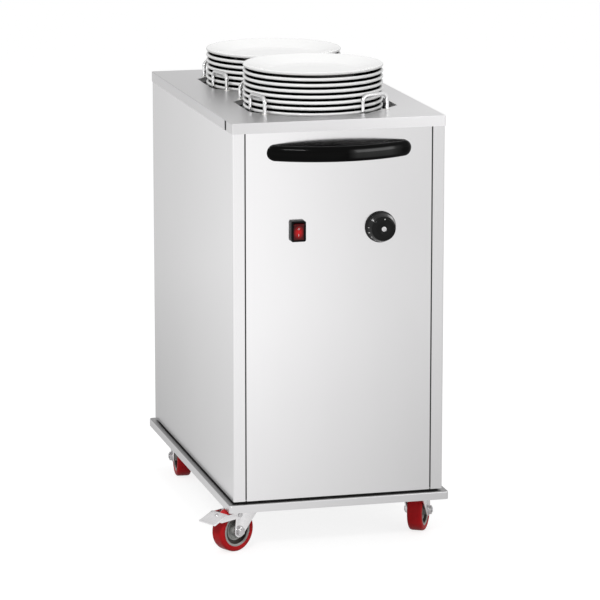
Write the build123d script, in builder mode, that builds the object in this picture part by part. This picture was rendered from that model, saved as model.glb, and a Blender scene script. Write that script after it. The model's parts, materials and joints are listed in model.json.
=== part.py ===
from build123d import *
import math
import os

os.makedirs("parts", exist_ok=True)

# A mobile plate dispenser with two spring-lifted, heated stacks in a sheet steel cabinet.
# Millimetres. +Z is up from the floor, the push handle is at the front (-Y), +X is to its right.

# Worktop and cabinet
top_width = 450
top_length = 760
top_height = 900
top_sheet = 1.5
top_bend = 1.6
apron_height = 22
apron_play = 0.01
notch_length = 14
notch_from_front = 47
body_bottom = 113
panel_sheet = 1.2
panel_bend = 3
return_width = 25
panel_gap = 3
flange_width = 15
post_sheet = 2
post_side_leg = 30
post_lap = 11
deck_sheet = 2
deck_margin = 0.5

# Base tray and the recessed plinth above it
tray_overhang = 10
tray_gap = 4
tray_depth = 17
tray_sheet = 2
tray_corner = 7
tray_edge = 2.6
plinth_recess = 8
plinth_width = 25

# Plates
plate_radius = 146
plate_base = 7
plate_rim_top = 25.5
plate_rim = 6.5
rim_edge_width = 5
rim_rounding = 2.4
foot_radius = 86
foot_width = 6
foot_height = 5
foot_slope = 2
shoulder_width = 3
shoulder_rise = 1.5
well_edge_width = 4
well_slope_width = 7
plate_seat_gap = 0.05
front_plate_count = 16
rear_plate_count = 15
front_stack_top = 87

# Wells in the worktop
well_pitch = 335
mouth_front_room = 4
mouth_left_room = 7
mouth_right_room = 19.5
mouth_right_flat = 118
mouth_collar = 10

# Wire guides: a pivot leg in the worktop and a swing leg beside the plates
wire_radius = 4
guide_height = 38
guide_bend = 13
guide_width = 65
guide_play = 0.75
guide_land = 8.5
guide_angle = 39.5
wire_clearance = 0.05
cut_spare = 1
bush_wall = 1.6
bush_flange = 2.2
bush_flange_thickness = 0.8

# Carriers on their springs and rails
carrier_radius = 118
carrier_sheet = 2
carrier_rim = 12
carrier_hole_radius = 26
carrier_hole_circle_radius = 78
arm_width = 20
spring_radius = 52
spring_wire_radius = 3
spring_turns = 18
spring_seat_gap = 0.2
spring_boss_play = 1
seat_flange = 62
seat_sheet = 3
seat_boss = 12
rail_channel = 26
rail_depth = 20
rail_sheet = 2
rail_room = 4.5
glide_play = 0.3
glide_length = 60
glide_thickness = 14

# Heaters
heater_radius = 100
heater_tube_radius = 4.25
heater_height = 24
heater_gap_angle = 40
heater_clip_radius = 4
heater_clip_gap = 0.1

# Controls on the front panel
controls_below_top = 225
knob_x = 87
knob_base_radius = 32.5
knob_length = 29
knob_taper = 15
knob_rounding = 4
knob_stand_off = 1
knob_bore_depth = 15
knob_screw_radius = 5.5
knob_screw_depth = 2
shaft_radius = 3
shaft_clearance = 0.06
shaft_panel_room = 1
shaft_end_gap = 1
thermostat_width = 40
thermostat_depth = 26
thermostat_corner = 3
switch_x = -88
bezel_width = 31
bezel_height = 43
bezel_depth = 12
bezel_corner = 4
bezel_rounding = 1.8
switch_wall = 2
switch_lip = 2.5
switch_housing_depth = 26
rocker_side_gap = 0.4
rocker_end_gap = 0.4
rocker_reach = 10
rocker_valley = 6.5
rocker_back = 6
rocker_pivot_out = 4
rocker_tilt = 8
trunnion_radius = 2
trunnion_length = 1
terminal_width = 6.3
terminal_length = 8
terminal_sheet = 0.8
terminal_spacing_x = 12
terminal_spacing_z = 20
switch_cutout_play = 0.2
control_box_width = 258
control_box_height = 76
control_box_depth = 45
control_box_sheet = 1

# Push handle
handle_half_length = 156
handle_height = 32
handle_thickness = 15
handle_reach = 54
handle_below_top = 63
handle_foot_inset = 4
handle_screw_radius = 3
handle_screw_inset = 12
handle_screw_grip = 7
handle_hole_depth = 8
handle_screw_head = 6

# Rear panel
gland_x = -140
gland_above_body = 77
gland_bore_radius = 4.5
gland_body_radius = 11
gland_reach = 20
gland_flange = 5
gland_thread_radius = 7.5
gland_nut_thickness = 4
gland_hex_radius = 12.5
gland_rounding = 4
gland_thread_spare = 2
gland_clearance = 0.1
vent_length = 60
vent_width = 5
vent_pitch = 14
vent_rows = 8
vent_offset = 80
vents_below_top = 200
rear_screw_radius = 2
rear_screw_head = 4
rear_screw_pitch = 180
rear_screw_low = 60
rear_screw_rows = 4

# Casters
caster_inset_x = 54
caster_inset_y = 70
wheel_radius = 45
wheel_width = 32
tyre_thickness = 11
tyre_gap = 0.05
tyre_shoulder = 5
hub_rim = 5
hub_rim_width = 30
hub_web_width = 6
hub_rib_radius = 20
hub_rib = 4
hub_rib_width = 18
hub_boss_radius = 11
hub_side_play = 0.5
axle_radius = 6
axle_clearance = 0.06
axle_nut = 10
axle_nut_thickness = 6
axle_end = 2.4
trail_length = 40
fork_sheet = 3
fork_wheel_gap = 3
fork_front = -26
fork_back = 46
fork_end_radius = 13
crown_radius = 29
crown_gap = 6.5
race_gap = 0.5
race_radius = 26
kingpin_head = 9
kingpin_head_thickness = 3
caster_plate_width = 70
caster_plate_length = 96
caster_plate_thickness = 3
caster_plate_corner = 6
caster_bolt_x = 50
caster_bolt_y = 75
caster_bolt_radius = 4
caster_bolt_head = 7
caster_bolt_head_thickness = 4
bolt_clearance = 0.3

# Brake pedals on the front left and rear right casters
pedal_pin_back = 40
pedal_pin_height = 80
pedal_pin_radius = 3
pedal_pin_head = 5
pedal_pin_head_thickness = 1.5
pedal_sheet = 3
pedal_arm_sheet = 2
pedal_arm_play = 0.5
pedal_arm_end = 6.5
pedal_inner = 75
pedal_outer = 111
pedal_inner_height = 87
pedal_drop = 15
pedal_shoe_height = 80.6
pedal_bevel = 1.2
pedal_arm_inset = 2
pedal_arm_reach = 12
pedal_arm_back = 20
pedal_arm_drop = 4
pin_inset = 0.1
pin_end_play = 0.4

# Directions in which the casters trail at rest, in degrees from +X
trail_angles = {"front_left": 208, "front_right": 60.6, "rear_left": 265.4, "rear_right": 33.4}

# Derived places
cabinet_y = (handle_reach - gland_reach) / 2
panel_width = top_width - 2 * top_sheet
panel_length = top_length - 2 * top_sheet
front_face = cabinet_y - panel_length / 2
rear_face = cabinet_y + panel_length / 2
inner_front = front_face + panel_sheet
inner_rear = rear_face - panel_sheet
sheet_under = top_height - top_sheet
control_height = top_height - controls_below_top
handle_centre_height = top_height - handle_below_top
gland_height = body_bottom + gland_above_body
tray_top = body_bottom - tray_gap
tray_bottom = tray_top - tray_depth
tray_width = top_width + 2 * tray_overhang
tray_length = top_length + 2 * tray_overhang
deck_bottom = body_bottom + panel_sheet
deck_top = deck_bottom + deck_sheet
front_panel_half = panel_width / 2 - return_width - panel_gap
well_ys = {"front": cabinet_y - well_pitch / 2, "rear": cabinet_y + well_pitch / 2}

mouth_half_length = plate_radius + mouth_front_room
mouth_left = plate_radius + mouth_left_room
mouth_right = plate_radius + mouth_right_room
mouth_sum = mouth_right + mouth_right_flat / 2
swing_radius = plate_radius + guide_play + wire_radius
guide_direction = math.radians(guide_angle)
pivot_radius = (mouth_sum + guide_land * math.sqrt(2)) / (math.cos(guide_direction) + math.sin(guide_direction))
swing_turn = math.degrees(
    math.acos((pivot_radius**2 + swing_radius**2 - guide_width**2) / (2 * pivot_radius * swing_radius))
)
pivot_angles = [guide_angle, 180 - guide_angle, 180 + guide_angle, 360 - guide_angle]

plate_pitch = foot_height + plate_base + plate_seat_gap
carrier_top = top_height + front_stack_top - plate_rim_top - plate_pitch * (front_plate_count - 1)
carrier_under = carrier_top - carrier_sheet
plate_start = carrier_top + plate_seat_gap
rail_x = mouth_right + rail_room
glide_x = rail_x + (rail_depth - rail_sheet - glide_thickness) / 2
arm_end = glide_x + glide_thickness / 2
boss_radius = spring_radius - spring_wire_radius - spring_boss_play
spring_bottom = deck_top + seat_sheet + spring_seat_gap
spring_top = carrier_under - spring_seat_gap
# The coils stand as a sleeve with as much steel in it as their wire has
spring_sleeve = spring_turns * math.pi * spring_wire_radius**2 / (spring_top - spring_bottom)

axle_height = wheel_radius
crown_bottom = 2 * wheel_radius + crown_gap
crown_top = crown_bottom + fork_sheet
race_bottom = crown_top + race_gap
caster_plate_top = tray_top - tray_sheet
caster_plate_bottom = caster_plate_top - caster_plate_thickness
leg_inner = wheel_width / 2 + fork_wheel_gap
leg_outer = leg_inner + fork_sheet
caster_x = tray_width / 2 - caster_inset_x
caster_y = tray_length / 2 - caster_inset_y
caster_places = {
    "front_left": (-caster_x, cabinet_y - caster_y),
    "front_right": (caster_x, cabinet_y - caster_y),
    "rear_left": (-caster_x, cabinet_y + caster_y),
    "rear_right": (caster_x, cabinet_y + caster_y),
}
braked = ("front_left", "rear_right")
nodes = {}

front_plane = Plane(origin=(0, front_face, 0), x_dir=(1, 0, 0), z_dir=(0, -1, 0))
rear_plane = Plane(origin=(0, rear_face, 0), x_dir=(1, 0, 0), z_dir=(0, -1, 0))


def around(radius, degrees, centre_y, height=0):
    angle = math.radians(degrees)
    return (radius * math.cos(angle), centre_y + radius * math.sin(angle), height)


# ---- Base tray: a shallow pan turned upside down, with a soft edge
with BuildPart() as tray_inside:
    with BuildSketch(Plane.XY.offset(tray_bottom)):
        with Locations((0, cabinet_y)):
            RectangleRounded(tray_width - 2 * tray_sheet, tray_length - 2 * tray_sheet, tray_corner - tray_sheet)
    extrude(amount=tray_depth - tray_sheet)
    fillet(tray_inside.faces().sort_by(Axis.Z)[-1].edges(), tray_edge - tray_sheet)

with BuildPart() as base_tray:
    with BuildSketch(Plane.XY.offset(tray_bottom)):
        with Locations((0, cabinet_y)):
            RectangleRounded(tray_width, tray_length, tray_corner)
    extrude(amount=tray_depth)
    fillet(base_tray.faces().sort_by(Axis.Z)[-1].edges(), tray_edge)
    add(tray_inside.part, mode=Mode.SUBTRACT)
    with BuildSketch(Plane.XY.offset(tray_top)):
        with Locations(*caster_places.values()):
            with GridLocations(caster_bolt_x, caster_bolt_y, 2, 2):
                Circle(caster_bolt_radius + bolt_clearance)
    extrude(amount=-2 * tray_sheet, mode=Mode.SUBTRACT)
nodes["base_tray"] = base_tray

with BuildPart() as plinth:
    with BuildSketch(Plane.XY.offset(tray_top)):
        with Locations((0, cabinet_y)):
            Rectangle(panel_width - 2 * plinth_recess, panel_length - 2 * plinth_recess)
            Rectangle(
                panel_width - 2 * (plinth_recess + plinth_width),
                panel_length - 2 * (plinth_recess + plinth_width),
                mode=Mode.SUBTRACT,
            )
    extrude(amount=tray_gap)
nodes["plinth"] = plinth

# ---- Cabinet deck inside the panels, with the holes that locate the guide legs
with BuildPart() as deck:
    with BuildSketch(Plane.XY.offset(deck_bottom)):
        with Locations((0, cabinet_y)):
            Rectangle(
                panel_width - 2 * (panel_sheet + deck_margin), panel_length - 2 * (panel_sheet + deck_margin)
            )
        for well_y in well_ys.values():
            for angle in pivot_angles:
                with Locations(around(pivot_radius, angle, well_y)[:2]):
                    Circle(wire_radius + wire_clearance, mode=Mode.SUBTRACT)
                with Locations(around(swing_radius, angle - swing_turn, well_y)[:2]):
                    Circle(wire_radius + wire_clearance, mode=Mode.SUBTRACT)
    extrude(amount=deck_sheet)
nodes["deck"] = deck

# ---- Side panels: a wall, a return strip on each end and a flange top and bottom
panel_height = sheet_under - body_bottom
return_edge = panel_width / 2 - return_width
flange_y_half = panel_length / 2 - panel_sheet - post_side_leg - deck_margin
notch_middle = cabinet_y - top_length / 2 + notch_from_front + notch_length / 2
with BuildPart() as left_side_panel:
    with BuildSketch(Plane.XY.offset(body_bottom)):
        with Locations((0, cabinet_y)):
            RectangleRounded(panel_width, panel_length, panel_bend)
            RectangleRounded(
                panel_width - 2 * panel_sheet,
                panel_length - 2 * panel_sheet,
                panel_bend - panel_sheet,
                mode=Mode.SUBTRACT,
            )
        with Locations((-return_edge, cabinet_y)):
            Rectangle(panel_width, panel_length, align=(Align.MIN, Align.CENTER), mode=Mode.SUBTRACT)
    extrude(amount=panel_height)
    for flange_bottom in (body_bottom, sheet_under - panel_sheet):
        with BuildSketch(Plane.XY.offset(flange_bottom)):
            with Locations((-panel_width / 2 + panel_sheet / 2, cabinet_y)):
                Rectangle(flange_width, 2 * flange_y_half, align=(Align.MIN, Align.CENTER))
        extrude(amount=panel_sheet)
    with BuildSketch(Plane.XY.offset(top_height - apron_height)):
        with Locations((-panel_width / 2, notch_middle)):
            Rectangle(2 * (flange_width + panel_sheet), notch_length)
    extrude(amount=apron_height, mode=Mode.SUBTRACT)
nodes["left_side_panel"] = left_side_panel

with BuildPart() as right_side_panel:
    add(mirror(left_side_panel.part, about=Plane.YZ, mode=Mode.PRIVATE))
nodes["right_side_panel"] = right_side_panel

# ---- Corner posts behind the gaps between the side returns and the end panels
post_front_leg = return_width - panel_sheet + panel_gap + post_lap
post_corner_x = panel_width / 2 - panel_sheet
screw_heights = [body_bottom + rear_screw_low + rear_screw_pitch * step for step in range(rear_screw_rows)]
screw_x = front_panel_half - post_lap / 2
with BuildPart() as corner_posts:
    for end in (-1, 1):
        for side in (-1, 1):
            corner_y = cabinet_y + end * (panel_length / 2 - panel_sheet)
            with BuildSketch(Plane.XY.offset(deck_top)) as post_outline:
                with Locations((side * (post_corner_x - post_front_leg / 2), corner_y - end * post_sheet / 2)):
                    Rectangle(post_front_leg, post_sheet)
                with Locations((side * (post_corner_x - post_sheet / 2), corner_y - end * post_side_leg / 2)):
                    Rectangle(post_sheet, post_side_leg)
                corner = post_outline.vertices().sort_by_distance((side * post_corner_x, corner_y))[0]
                fillet(corner, panel_bend - panel_sheet)
            extrude(amount=sheet_under - deck_top)
    with BuildSketch(rear_plane):
        for height in screw_heights:
            with Locations((-screw_x, height), (screw_x, height)):
                Circle(rear_screw_radius + wire_clearance)
    extrude(amount=2 * (panel_sheet + post_sheet), mode=Mode.SUBTRACT)
nodes["corner_posts"] = corner_posts

# ---- Front panel with the switch, shaft and handle screw holes
panel_middle = (body_bottom + sheet_under) / 2
end_flange_half = front_panel_half - post_lap - deck_margin
housing_width = bezel_width - 2 * switch_lip
housing_height = bezel_height - 2 * switch_lip
handle_screw_x = handle_half_length - handle_screw_inset
with BuildPart() as front_panel:
    with BuildSketch(front_plane):
        with Locations((0, panel_middle)):
            Rectangle(2 * front_panel_half, panel_height)
        with Locations((switch_x, control_height)):
            Rectangle(
                housing_width + 2 * switch_cutout_play,
                housing_height + 2 * switch_cutout_play,
                mode=Mode.SUBTRACT,
            )
        with Locations((knob_x, control_height)):
            Circle(shaft_radius + shaft_panel_room, mode=Mode.SUBTRACT)
        with Locations((-handle_screw_x, handle_centre_height), (handle_screw_x, handle_centre_height)):
            Circle(handle_screw_radius + bolt_clearance, mode=Mode.SUBTRACT)
    extrude(amount=-panel_sheet)
    for flange_bottom in (body_bottom, sheet_under - panel_sheet):
        with BuildSketch(Plane.XY.offset(flange_bottom)):
            with Locations((0, front_face + flange_width / 2)):
                Rectangle(2 * end_flange_half, flange_width)
        extrude(amount=panel_sheet)
nodes["front_panel"] = front_panel

# ---- Rear panel with vents and the hole for the cable gland
vent_places = [
    (side * vent_offset, top_height - vents_below_top + row * vent_pitch) for side in (-1, 1) for row in range(vent_rows)
]
with BuildPart() as rear_panel:
    with BuildSketch(rear_plane):
        with Locations((0, panel_middle)):
            Rectangle(2 * front_panel_half, panel_height)
        with Locations(*vent_places):
            SlotOverall(vent_length, vent_width, mode=Mode.SUBTRACT)
        with Locations((gland_x, gland_height)):
            Circle(gland_thread_radius + gland_clearance, mode=Mode.SUBTRACT)
        for height in screw_heights:
            with Locations((-screw_x, height), (screw_x, height)):
                Circle(rear_screw_radius + wire_clearance, mode=Mode.SUBTRACT)
    extrude(amount=panel_sheet)
    for flange_bottom in (body_bottom, sheet_under - panel_sheet):
        with BuildSketch(Plane.XY.offset(flange_bottom)):
            with Locations((0, rear_face - flange_width / 2)):
                Rectangle(2 * end_flange_half, flange_width)
        extrude(amount=panel_sheet)
nodes["rear_panel"] = rear_panel

with BuildPart() as rear_screws:
    for height in screw_heights:
        for x in (-screw_x, screw_x):
            with BuildSketch(rear_plane):
                with Locations((x, height)):
                    Circle(rear_screw_head)
            extrude(amount=-rear_screw_head / 2)
            with BuildSketch(rear_plane):
                with Locations((x, height)):
                    Circle(rear_screw_radius)
            extrude(amount=panel_sheet + post_sheet)
    heads = rear_screws.edges().filter_by(GeomType.CIRCLE).group_by(Axis.Y)[-1]
    fillet(heads, rear_screw_head / 4)
nodes["rear_screws"] = rear_screws


# ---- Worktop: a tray-shaped sheet with two eight-sided mouths and side notches
def mouth_points(centre_y):
    slope = mouth_sum - mouth_half_length
    right_flat = mouth_sum - mouth_right
    left_flat = mouth_sum - mouth_left
    return [
        (mouth_right, centre_y - right_flat),
        (mouth_right, centre_y + right_flat),
        (slope, centre_y + mouth_half_length),
        (-slope, centre_y + mouth_half_length),
        (-mouth_left, centre_y + left_flat),
        (-mouth_left, centre_y - left_flat),
        (-slope, centre_y - mouth_half_length),
        (slope, centre_y - mouth_half_length),
    ]


bush_radius = wire_radius + wire_clearance + bush_wall
with BuildPart() as top_panel:
    with BuildSketch(Plane.XY.offset(top_height - apron_height)):
        with Locations((0, cabinet_y)):
            RectangleRounded(top_width, top_length, panel_bend + top_sheet)
    extrude(amount=apron_height)
    fillet(top_panel.faces().sort_by(Axis.Z)[-1].edges(), top_bend)
    with BuildSketch(Plane.XY.offset(top_height - apron_height)):
        with Locations((0, cabinet_y)):
            RectangleRounded(panel_width + 2 * apron_play, panel_length + 2 * apron_play, panel_bend)
    extrude(amount=apron_height - top_sheet, mode=Mode.SUBTRACT)
    for well_y in well_ys.values():
        with BuildSketch(Plane.XY.offset(top_height - mouth_collar)):
            Polygon(*mouth_points(well_y), align=None)
            offset(amount=top_sheet, kind=Kind.INTERSECTION)
        extrude(amount=mouth_collar - top_sheet / 2)
        with BuildSketch(Plane.XY.offset(top_height - mouth_collar)):
            Polygon(*mouth_points(well_y), align=None)
        extrude(amount=2 * mouth_collar, mode=Mode.SUBTRACT)
        with BuildSketch(Plane.XY.offset(top_height)):
            for angle in pivot_angles:
                with Locations(around(pivot_radius, angle, well_y)[:2]):
                    Circle(bush_radius + wire_clearance)
        extrude(amount=-2 * top_sheet, mode=Mode.SUBTRACT)
    with BuildSketch(Plane.XY.offset(top_height - apron_height)):
        with Locations((-top_width / 2, notch_middle), (top_width / 2, notch_middle)):
            Rectangle(2 * top_sheet, notch_length)
    extrude(amount=apron_height - top_bend, mode=Mode.SUBTRACT)
nodes["top_panel"] = top_panel

# ---- Wire guides and the bushes that hold their pivot legs
guide_top = top_height + guide_height - wire_radius
for well, well_y in well_ys.items():
    with BuildPart() as wire_guides:
        for angle in pivot_angles:
            pivot = around(pivot_radius, angle, well_y)
            swing = around(swing_radius, angle - swing_turn, well_y)
            with BuildLine() as guide_path:
                FilletPolyline(
                    (pivot[0], pivot[1], deck_bottom),
                    (pivot[0], pivot[1], guide_top),
                    (swing[0], swing[1], guide_top),
                    (swing[0], swing[1], deck_bottom),
                    radius=guide_bend,
                )
            with BuildSketch(Plane.XY.offset(deck_bottom)):
                with Locations(pivot[:2]):
                    Circle(wire_radius)
            sweep(path=guide_path.wires()[0])
    nodes[f"{well}_wire_guides"] = wire_guides

with BuildPart() as guide_bushes:
    for well_y in well_ys.values():
        for angle in pivot_angles:
            with BuildSketch(Plane.XY.offset(sheet_under - top_sheet)):
                with Locations(around(pivot_radius, angle, well_y)[:2]):
                    Circle(bush_radius)
                    Circle(wire_radius + wire_clearance, mode=Mode.SUBTRACT)
            extrude(amount=2 * top_sheet)
            with BuildSketch(Plane.XY.offset(top_height)):
                with Locations(around(pivot_radius, angle, well_y)[:2]):
                    Circle(bush_radius + bush_flange - bush_wall)
                    Circle(wire_radius + wire_clearance, mode=Mode.SUBTRACT)
            extrude(amount=bush_flange_thickness)
nodes["guide_bushes"] = guide_bushes

# ---- Rails, glides, carriers, springs and their seats, one set for each well
for well, well_y in well_ys.items():
    with BuildPart() as guide_rails:
        for side in (-1, 1):
            with BuildSketch(Plane.XY.offset(deck_top)):
                with Locations((side * (rail_x + rail_depth / 2), well_y)):
                    Rectangle(rail_depth, rail_channel + 2 * rail_sheet)
                with Locations((side * (rail_x + (rail_depth - rail_sheet) / 2), well_y)):
                    Rectangle(rail_depth - rail_sheet, rail_channel, mode=Mode.SUBTRACT)
            extrude(amount=sheet_under - deck_top)
    nodes[f"{well}_guide_rails"] = guide_rails

    with BuildPart() as carrier:
        with BuildSketch(Plane.XY.offset(carrier_under)):
            with Locations((0, well_y)):
                Circle(carrier_radius)
                Rectangle(2 * arm_end, arm_width)
                with PolarLocations(carrier_hole_circle_radius, 4, start_angle=45):
                    Circle(carrier_hole_radius, mode=Mode.SUBTRACT)
        extrude(amount=carrier_sheet)
        with BuildSketch(Plane.XY.offset(carrier_top - carrier_rim)):
            with Locations((0, well_y)):
                Circle(carrier_radius)
                Circle(carrier_radius - carrier_sheet, mode=Mode.SUBTRACT)
        extrude(amount=carrier_rim - carrier_sheet)
        with BuildSketch(Plane.XY.offset(carrier_under - seat_boss)):
            with Locations((0, well_y)):
                Circle(boss_radius)
                Circle(boss_radius - carrier_sheet, mode=Mode.SUBTRACT)
        extrude(amount=seat_boss)
    nodes[f"{well}_carrier"] = carrier

    with BuildPart() as glides:
        for side in (-1, 1):
            with BuildSketch(Plane.XY.offset(carrier_under - glide_length)):
                with Locations((side * (glide_x + glide_thickness / 2), well_y)):
                    RectangleRounded(glide_thickness, rail_channel - 2 * glide_play, 2)
            extrude(amount=glide_length)
    nodes[f"{well}_glides"] = glides

    with BuildPart() as spring_seat:
        with BuildSketch(Plane.XY.offset(deck_top)):
            with Locations((0, well_y)):
                Circle(seat_flange)
        extrude(amount=seat_sheet)
        with BuildSketch(Plane.XY.offset(deck_top + seat_sheet)):
            with Locations((0, well_y)):
                Circle(boss_radius)
        extrude(amount=seat_boss)
        with BuildSketch(Plane.XY.offset(deck_top)):
            with Locations((0, well_y)):
                Circle(boss_radius - seat_sheet)
        extrude(amount=seat_sheet + seat_boss, mode=Mode.SUBTRACT)
    nodes[f"{well}_spring_seat"] = spring_seat

    with BuildPart() as lift_spring:
        with BuildSketch(Plane.XY.offset(spring_bottom)):
            with Locations((0, well_y)):
                Circle(spring_radius + spring_wire_radius)
                Circle(spring_radius + spring_wire_radius - spring_sleeve, mode=Mode.SUBTRACT)
        extrude(amount=spring_top - spring_bottom)
    nodes[f"{well}_lift_spring"] = lift_spring

    # A tubular heater ring on the deck, its two ends turned down through the gap
    ring_height = deck_top + heater_height
    with BuildPart() as heater:
        with BuildLine() as ring:
            CenterArc((0, well_y, ring_height), heater_radius, heater_gap_angle / 2, 360 - heater_gap_angle)
        with BuildSketch(Plane(origin=ring.edge() @ 0, z_dir=ring.edge() % 0)):
            Circle(heater_tube_radius)
        sweep(path=ring.edge())
        for angle in (heater_gap_angle / 2, -heater_gap_angle / 2):
            with Locations(around(heater_radius, angle, well_y, ring_height)):
                Sphere(heater_tube_radius)
                Cylinder(heater_tube_radius, heater_height, align=(Align.CENTER, Align.CENTER, Align.MAX))
    nodes[f"{well}_heater"] = heater

with BuildPart() as heater_clips:
    for well_y in well_ys.values():
        for angle in (90, 180, 270):
            with BuildSketch(Plane.XY.offset(deck_top)):
                with Locations(around(heater_radius, angle, well_y)[:2]):
                    Circle(heater_clip_radius)
            extrude(amount=heater_height - heater_tube_radius - heater_clip_gap)
nodes["heater_clips"] = heater_clips

# ---- Plates: one profile, stacked foot on well
outer_under = plate_rim_top - plate_rim
rim_rise = 1
with BuildPart() as plate:
    with BuildSketch(Plane.XZ) as plate_section:
        Polygon(
            (0, foot_height),
            (foot_radius - foot_width - foot_slope, foot_height),
            (foot_radius - foot_width, 0),
            (foot_radius, 0),
            (foot_radius + shoulder_width, foot_height + shoulder_rise),
            (plate_radius - rim_edge_width, outer_under - rim_rise),
            (plate_radius, outer_under + rim_rise),
            (plate_radius, plate_rim_top),
            (plate_radius - rim_edge_width, plate_rim_top - rim_rise / 2),
            (foot_radius + well_edge_width + well_slope_width, foot_height + plate_base + shoulder_rise),
            (foot_radius + well_edge_width, foot_height + plate_base),
            (0, foot_height + plate_base),
            align=None,
        )
        fillet(plate_section.vertices().group_by(Axis.X)[-1], rim_rounding)
    revolve(axis=Axis.Z)

for well, count in (("front", front_plate_count), ("rear", rear_plate_count)):
    with BuildPart() as plates:
        with Locations(*[(0, well_ys[well], plate_start + plate_pitch * step) for step in range(count)]):
            add(plate.part)
    nodes[f"{well}_plates"] = plates

# ---- Push handle: a bowed bar with round ends, screwed on from inside
foot_x = handle_half_length - handle_foot_inset
bow = handle_reach - handle_thickness / 2
with BuildPart() as push_handle:
    with BuildLine(Plane.XY.offset(handle_centre_height)) as handle_path:
        ThreePointArc((-foot_x, front_face + 6), (0, front_face - bow), (foot_x, front_face + 6))
    handle_start = Plane(origin=handle_path.edge() @ 0, x_dir=(0, 0, 1), z_dir=handle_path.edge() % 0)
    with BuildSketch(handle_start):
        RectangleRounded(handle_height, handle_thickness, handle_thickness / 2 - 0.5)
    sweep(path=handle_path.edge())
    with BuildSketch(front_plane):
        with Locations((0, handle_centre_height)):
            SlotOverall(2 * handle_half_length, handle_height)
    extrude(amount=2 * handle_reach, mode=Mode.INTERSECT)
    with BuildSketch(front_plane):
        with Locations((-handle_screw_x, handle_centre_height), (handle_screw_x, handle_centre_height)):
            Circle(handle_screw_radius + wire_clearance)
    extrude(amount=handle_hole_depth, mode=Mode.SUBTRACT)
nodes["push_handle"] = push_handle

with BuildPart() as handle_screws:
    for x in (-handle_screw_x, handle_screw_x):
        with BuildSketch(Plane.XZ.offset(-inner_front)):
            with Locations((x, handle_centre_height)):
                Circle(handle_screw_radius)
        extrude(amount=panel_sheet + handle_screw_grip)
        with BuildSketch(Plane.XZ.offset(-inner_front)):
            with Locations((x, handle_centre_height)):
                Circle(handle_screw_head)
        extrude(amount=-handle_screw_head / 2)
nodes["handle_screws"] = handle_screws

# ---- Thermostat with its knob
with BuildPart() as thermostat:
    with BuildSketch(Plane.XZ.offset(-inner_front)):
        with Locations((knob_x, control_height)):
            RectangleRounded(thermostat_width, thermostat_width, thermostat_corner)
    extrude(amount=-thermostat_depth)
    with BuildSketch(Plane.XZ.offset(-inner_front)):
        with Locations((knob_x, control_height)):
            Circle(shaft_radius)
    extrude(amount=panel_sheet + knob_stand_off + knob_bore_depth - shaft_end_gap)
nodes["thermostat"] = thermostat

knob_face = knob_stand_off + knob_length
with BuildPart() as knob:
    with BuildSketch(front_plane.offset(knob_stand_off)):
        with Locations((knob_x, control_height)):
            Circle(knob_base_radius)
    extrude(amount=knob_length, taper=knob_taper)
    fillet(knob.faces().sort_by(Axis.Y)[0].edges(), knob_rounding)
    with BuildSketch(front_plane.offset(knob_stand_off)):
        with Locations((knob_x, control_height)):
            Circle(shaft_radius + shaft_clearance)
    extrude(amount=knob_bore_depth, mode=Mode.SUBTRACT)
    with BuildSketch(front_plane.offset(knob_face)):
        with Locations((knob_x, control_height)):
            Circle(knob_screw_radius)
    extrude(amount=-knob_screw_depth, mode=Mode.SUBTRACT)
nodes["thermostat_knob"] = knob

with BuildPart() as knob_screw:
    with BuildSketch(front_plane.offset(knob_face - knob_screw_depth)):
        with Locations((knob_x, control_height)):
            Circle(knob_screw_radius - wire_clearance)
    extrude(amount=knob_screw_depth)
    with BuildSketch(front_plane.offset(knob_face)):
        with Locations((knob_x, control_height)):
            Rectangle(2 * knob_screw_radius, 1.4)
    extrude(amount=-knob_screw_depth / 2, mode=Mode.SUBTRACT)
nodes["knob_screw"] = knob_screw

# ---- Rocker switch: housing and bezel in one, with the rocker on two trunnions
pocket_width = housing_width - 2 * switch_wall
pocket_height = housing_height - switch_wall
pivot_y = front_face - rocker_pivot_out
with BuildPart() as switch_housing:
    with BuildSketch(front_plane):
        with Locations((switch_x, control_height)):
            RectangleRounded(bezel_width, bezel_height, bezel_corner)
    extrude(amount=bezel_depth)
    fillet(switch_housing.faces().sort_by(Axis.Y)[0].edges(), bezel_rounding)
    with BuildSketch(front_plane):
        with Locations((switch_x, control_height)):
            Rectangle(housing_width, housing_height)
    extrude(amount=-switch_housing_depth)
    with BuildSketch(front_plane.offset(bezel_depth)):
        with Locations((switch_x, control_height)):
            Rectangle(pocket_width, pocket_height)
    extrude(amount=-bezel_depth - rocker_back, mode=Mode.SUBTRACT)
    with BuildSketch(Plane.YZ.offset(switch_x - pocket_width / 2 - trunnion_length)):
        with Locations((pivot_y, control_height)):
            Circle(trunnion_radius + shaft_clearance)
    extrude(amount=pocket_width + 2 * trunnion_length, mode=Mode.SUBTRACT)
    with BuildSketch(Plane.XZ.offset(-front_face - switch_housing_depth)):
        with Locations((switch_x, control_height)):
            with GridLocations(terminal_spacing_x, terminal_spacing_z, 2, 2):
                Rectangle(terminal_sheet, terminal_width)
    extrude(amount=-terminal_length)
nodes["switch_housing"] = switch_housing

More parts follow.
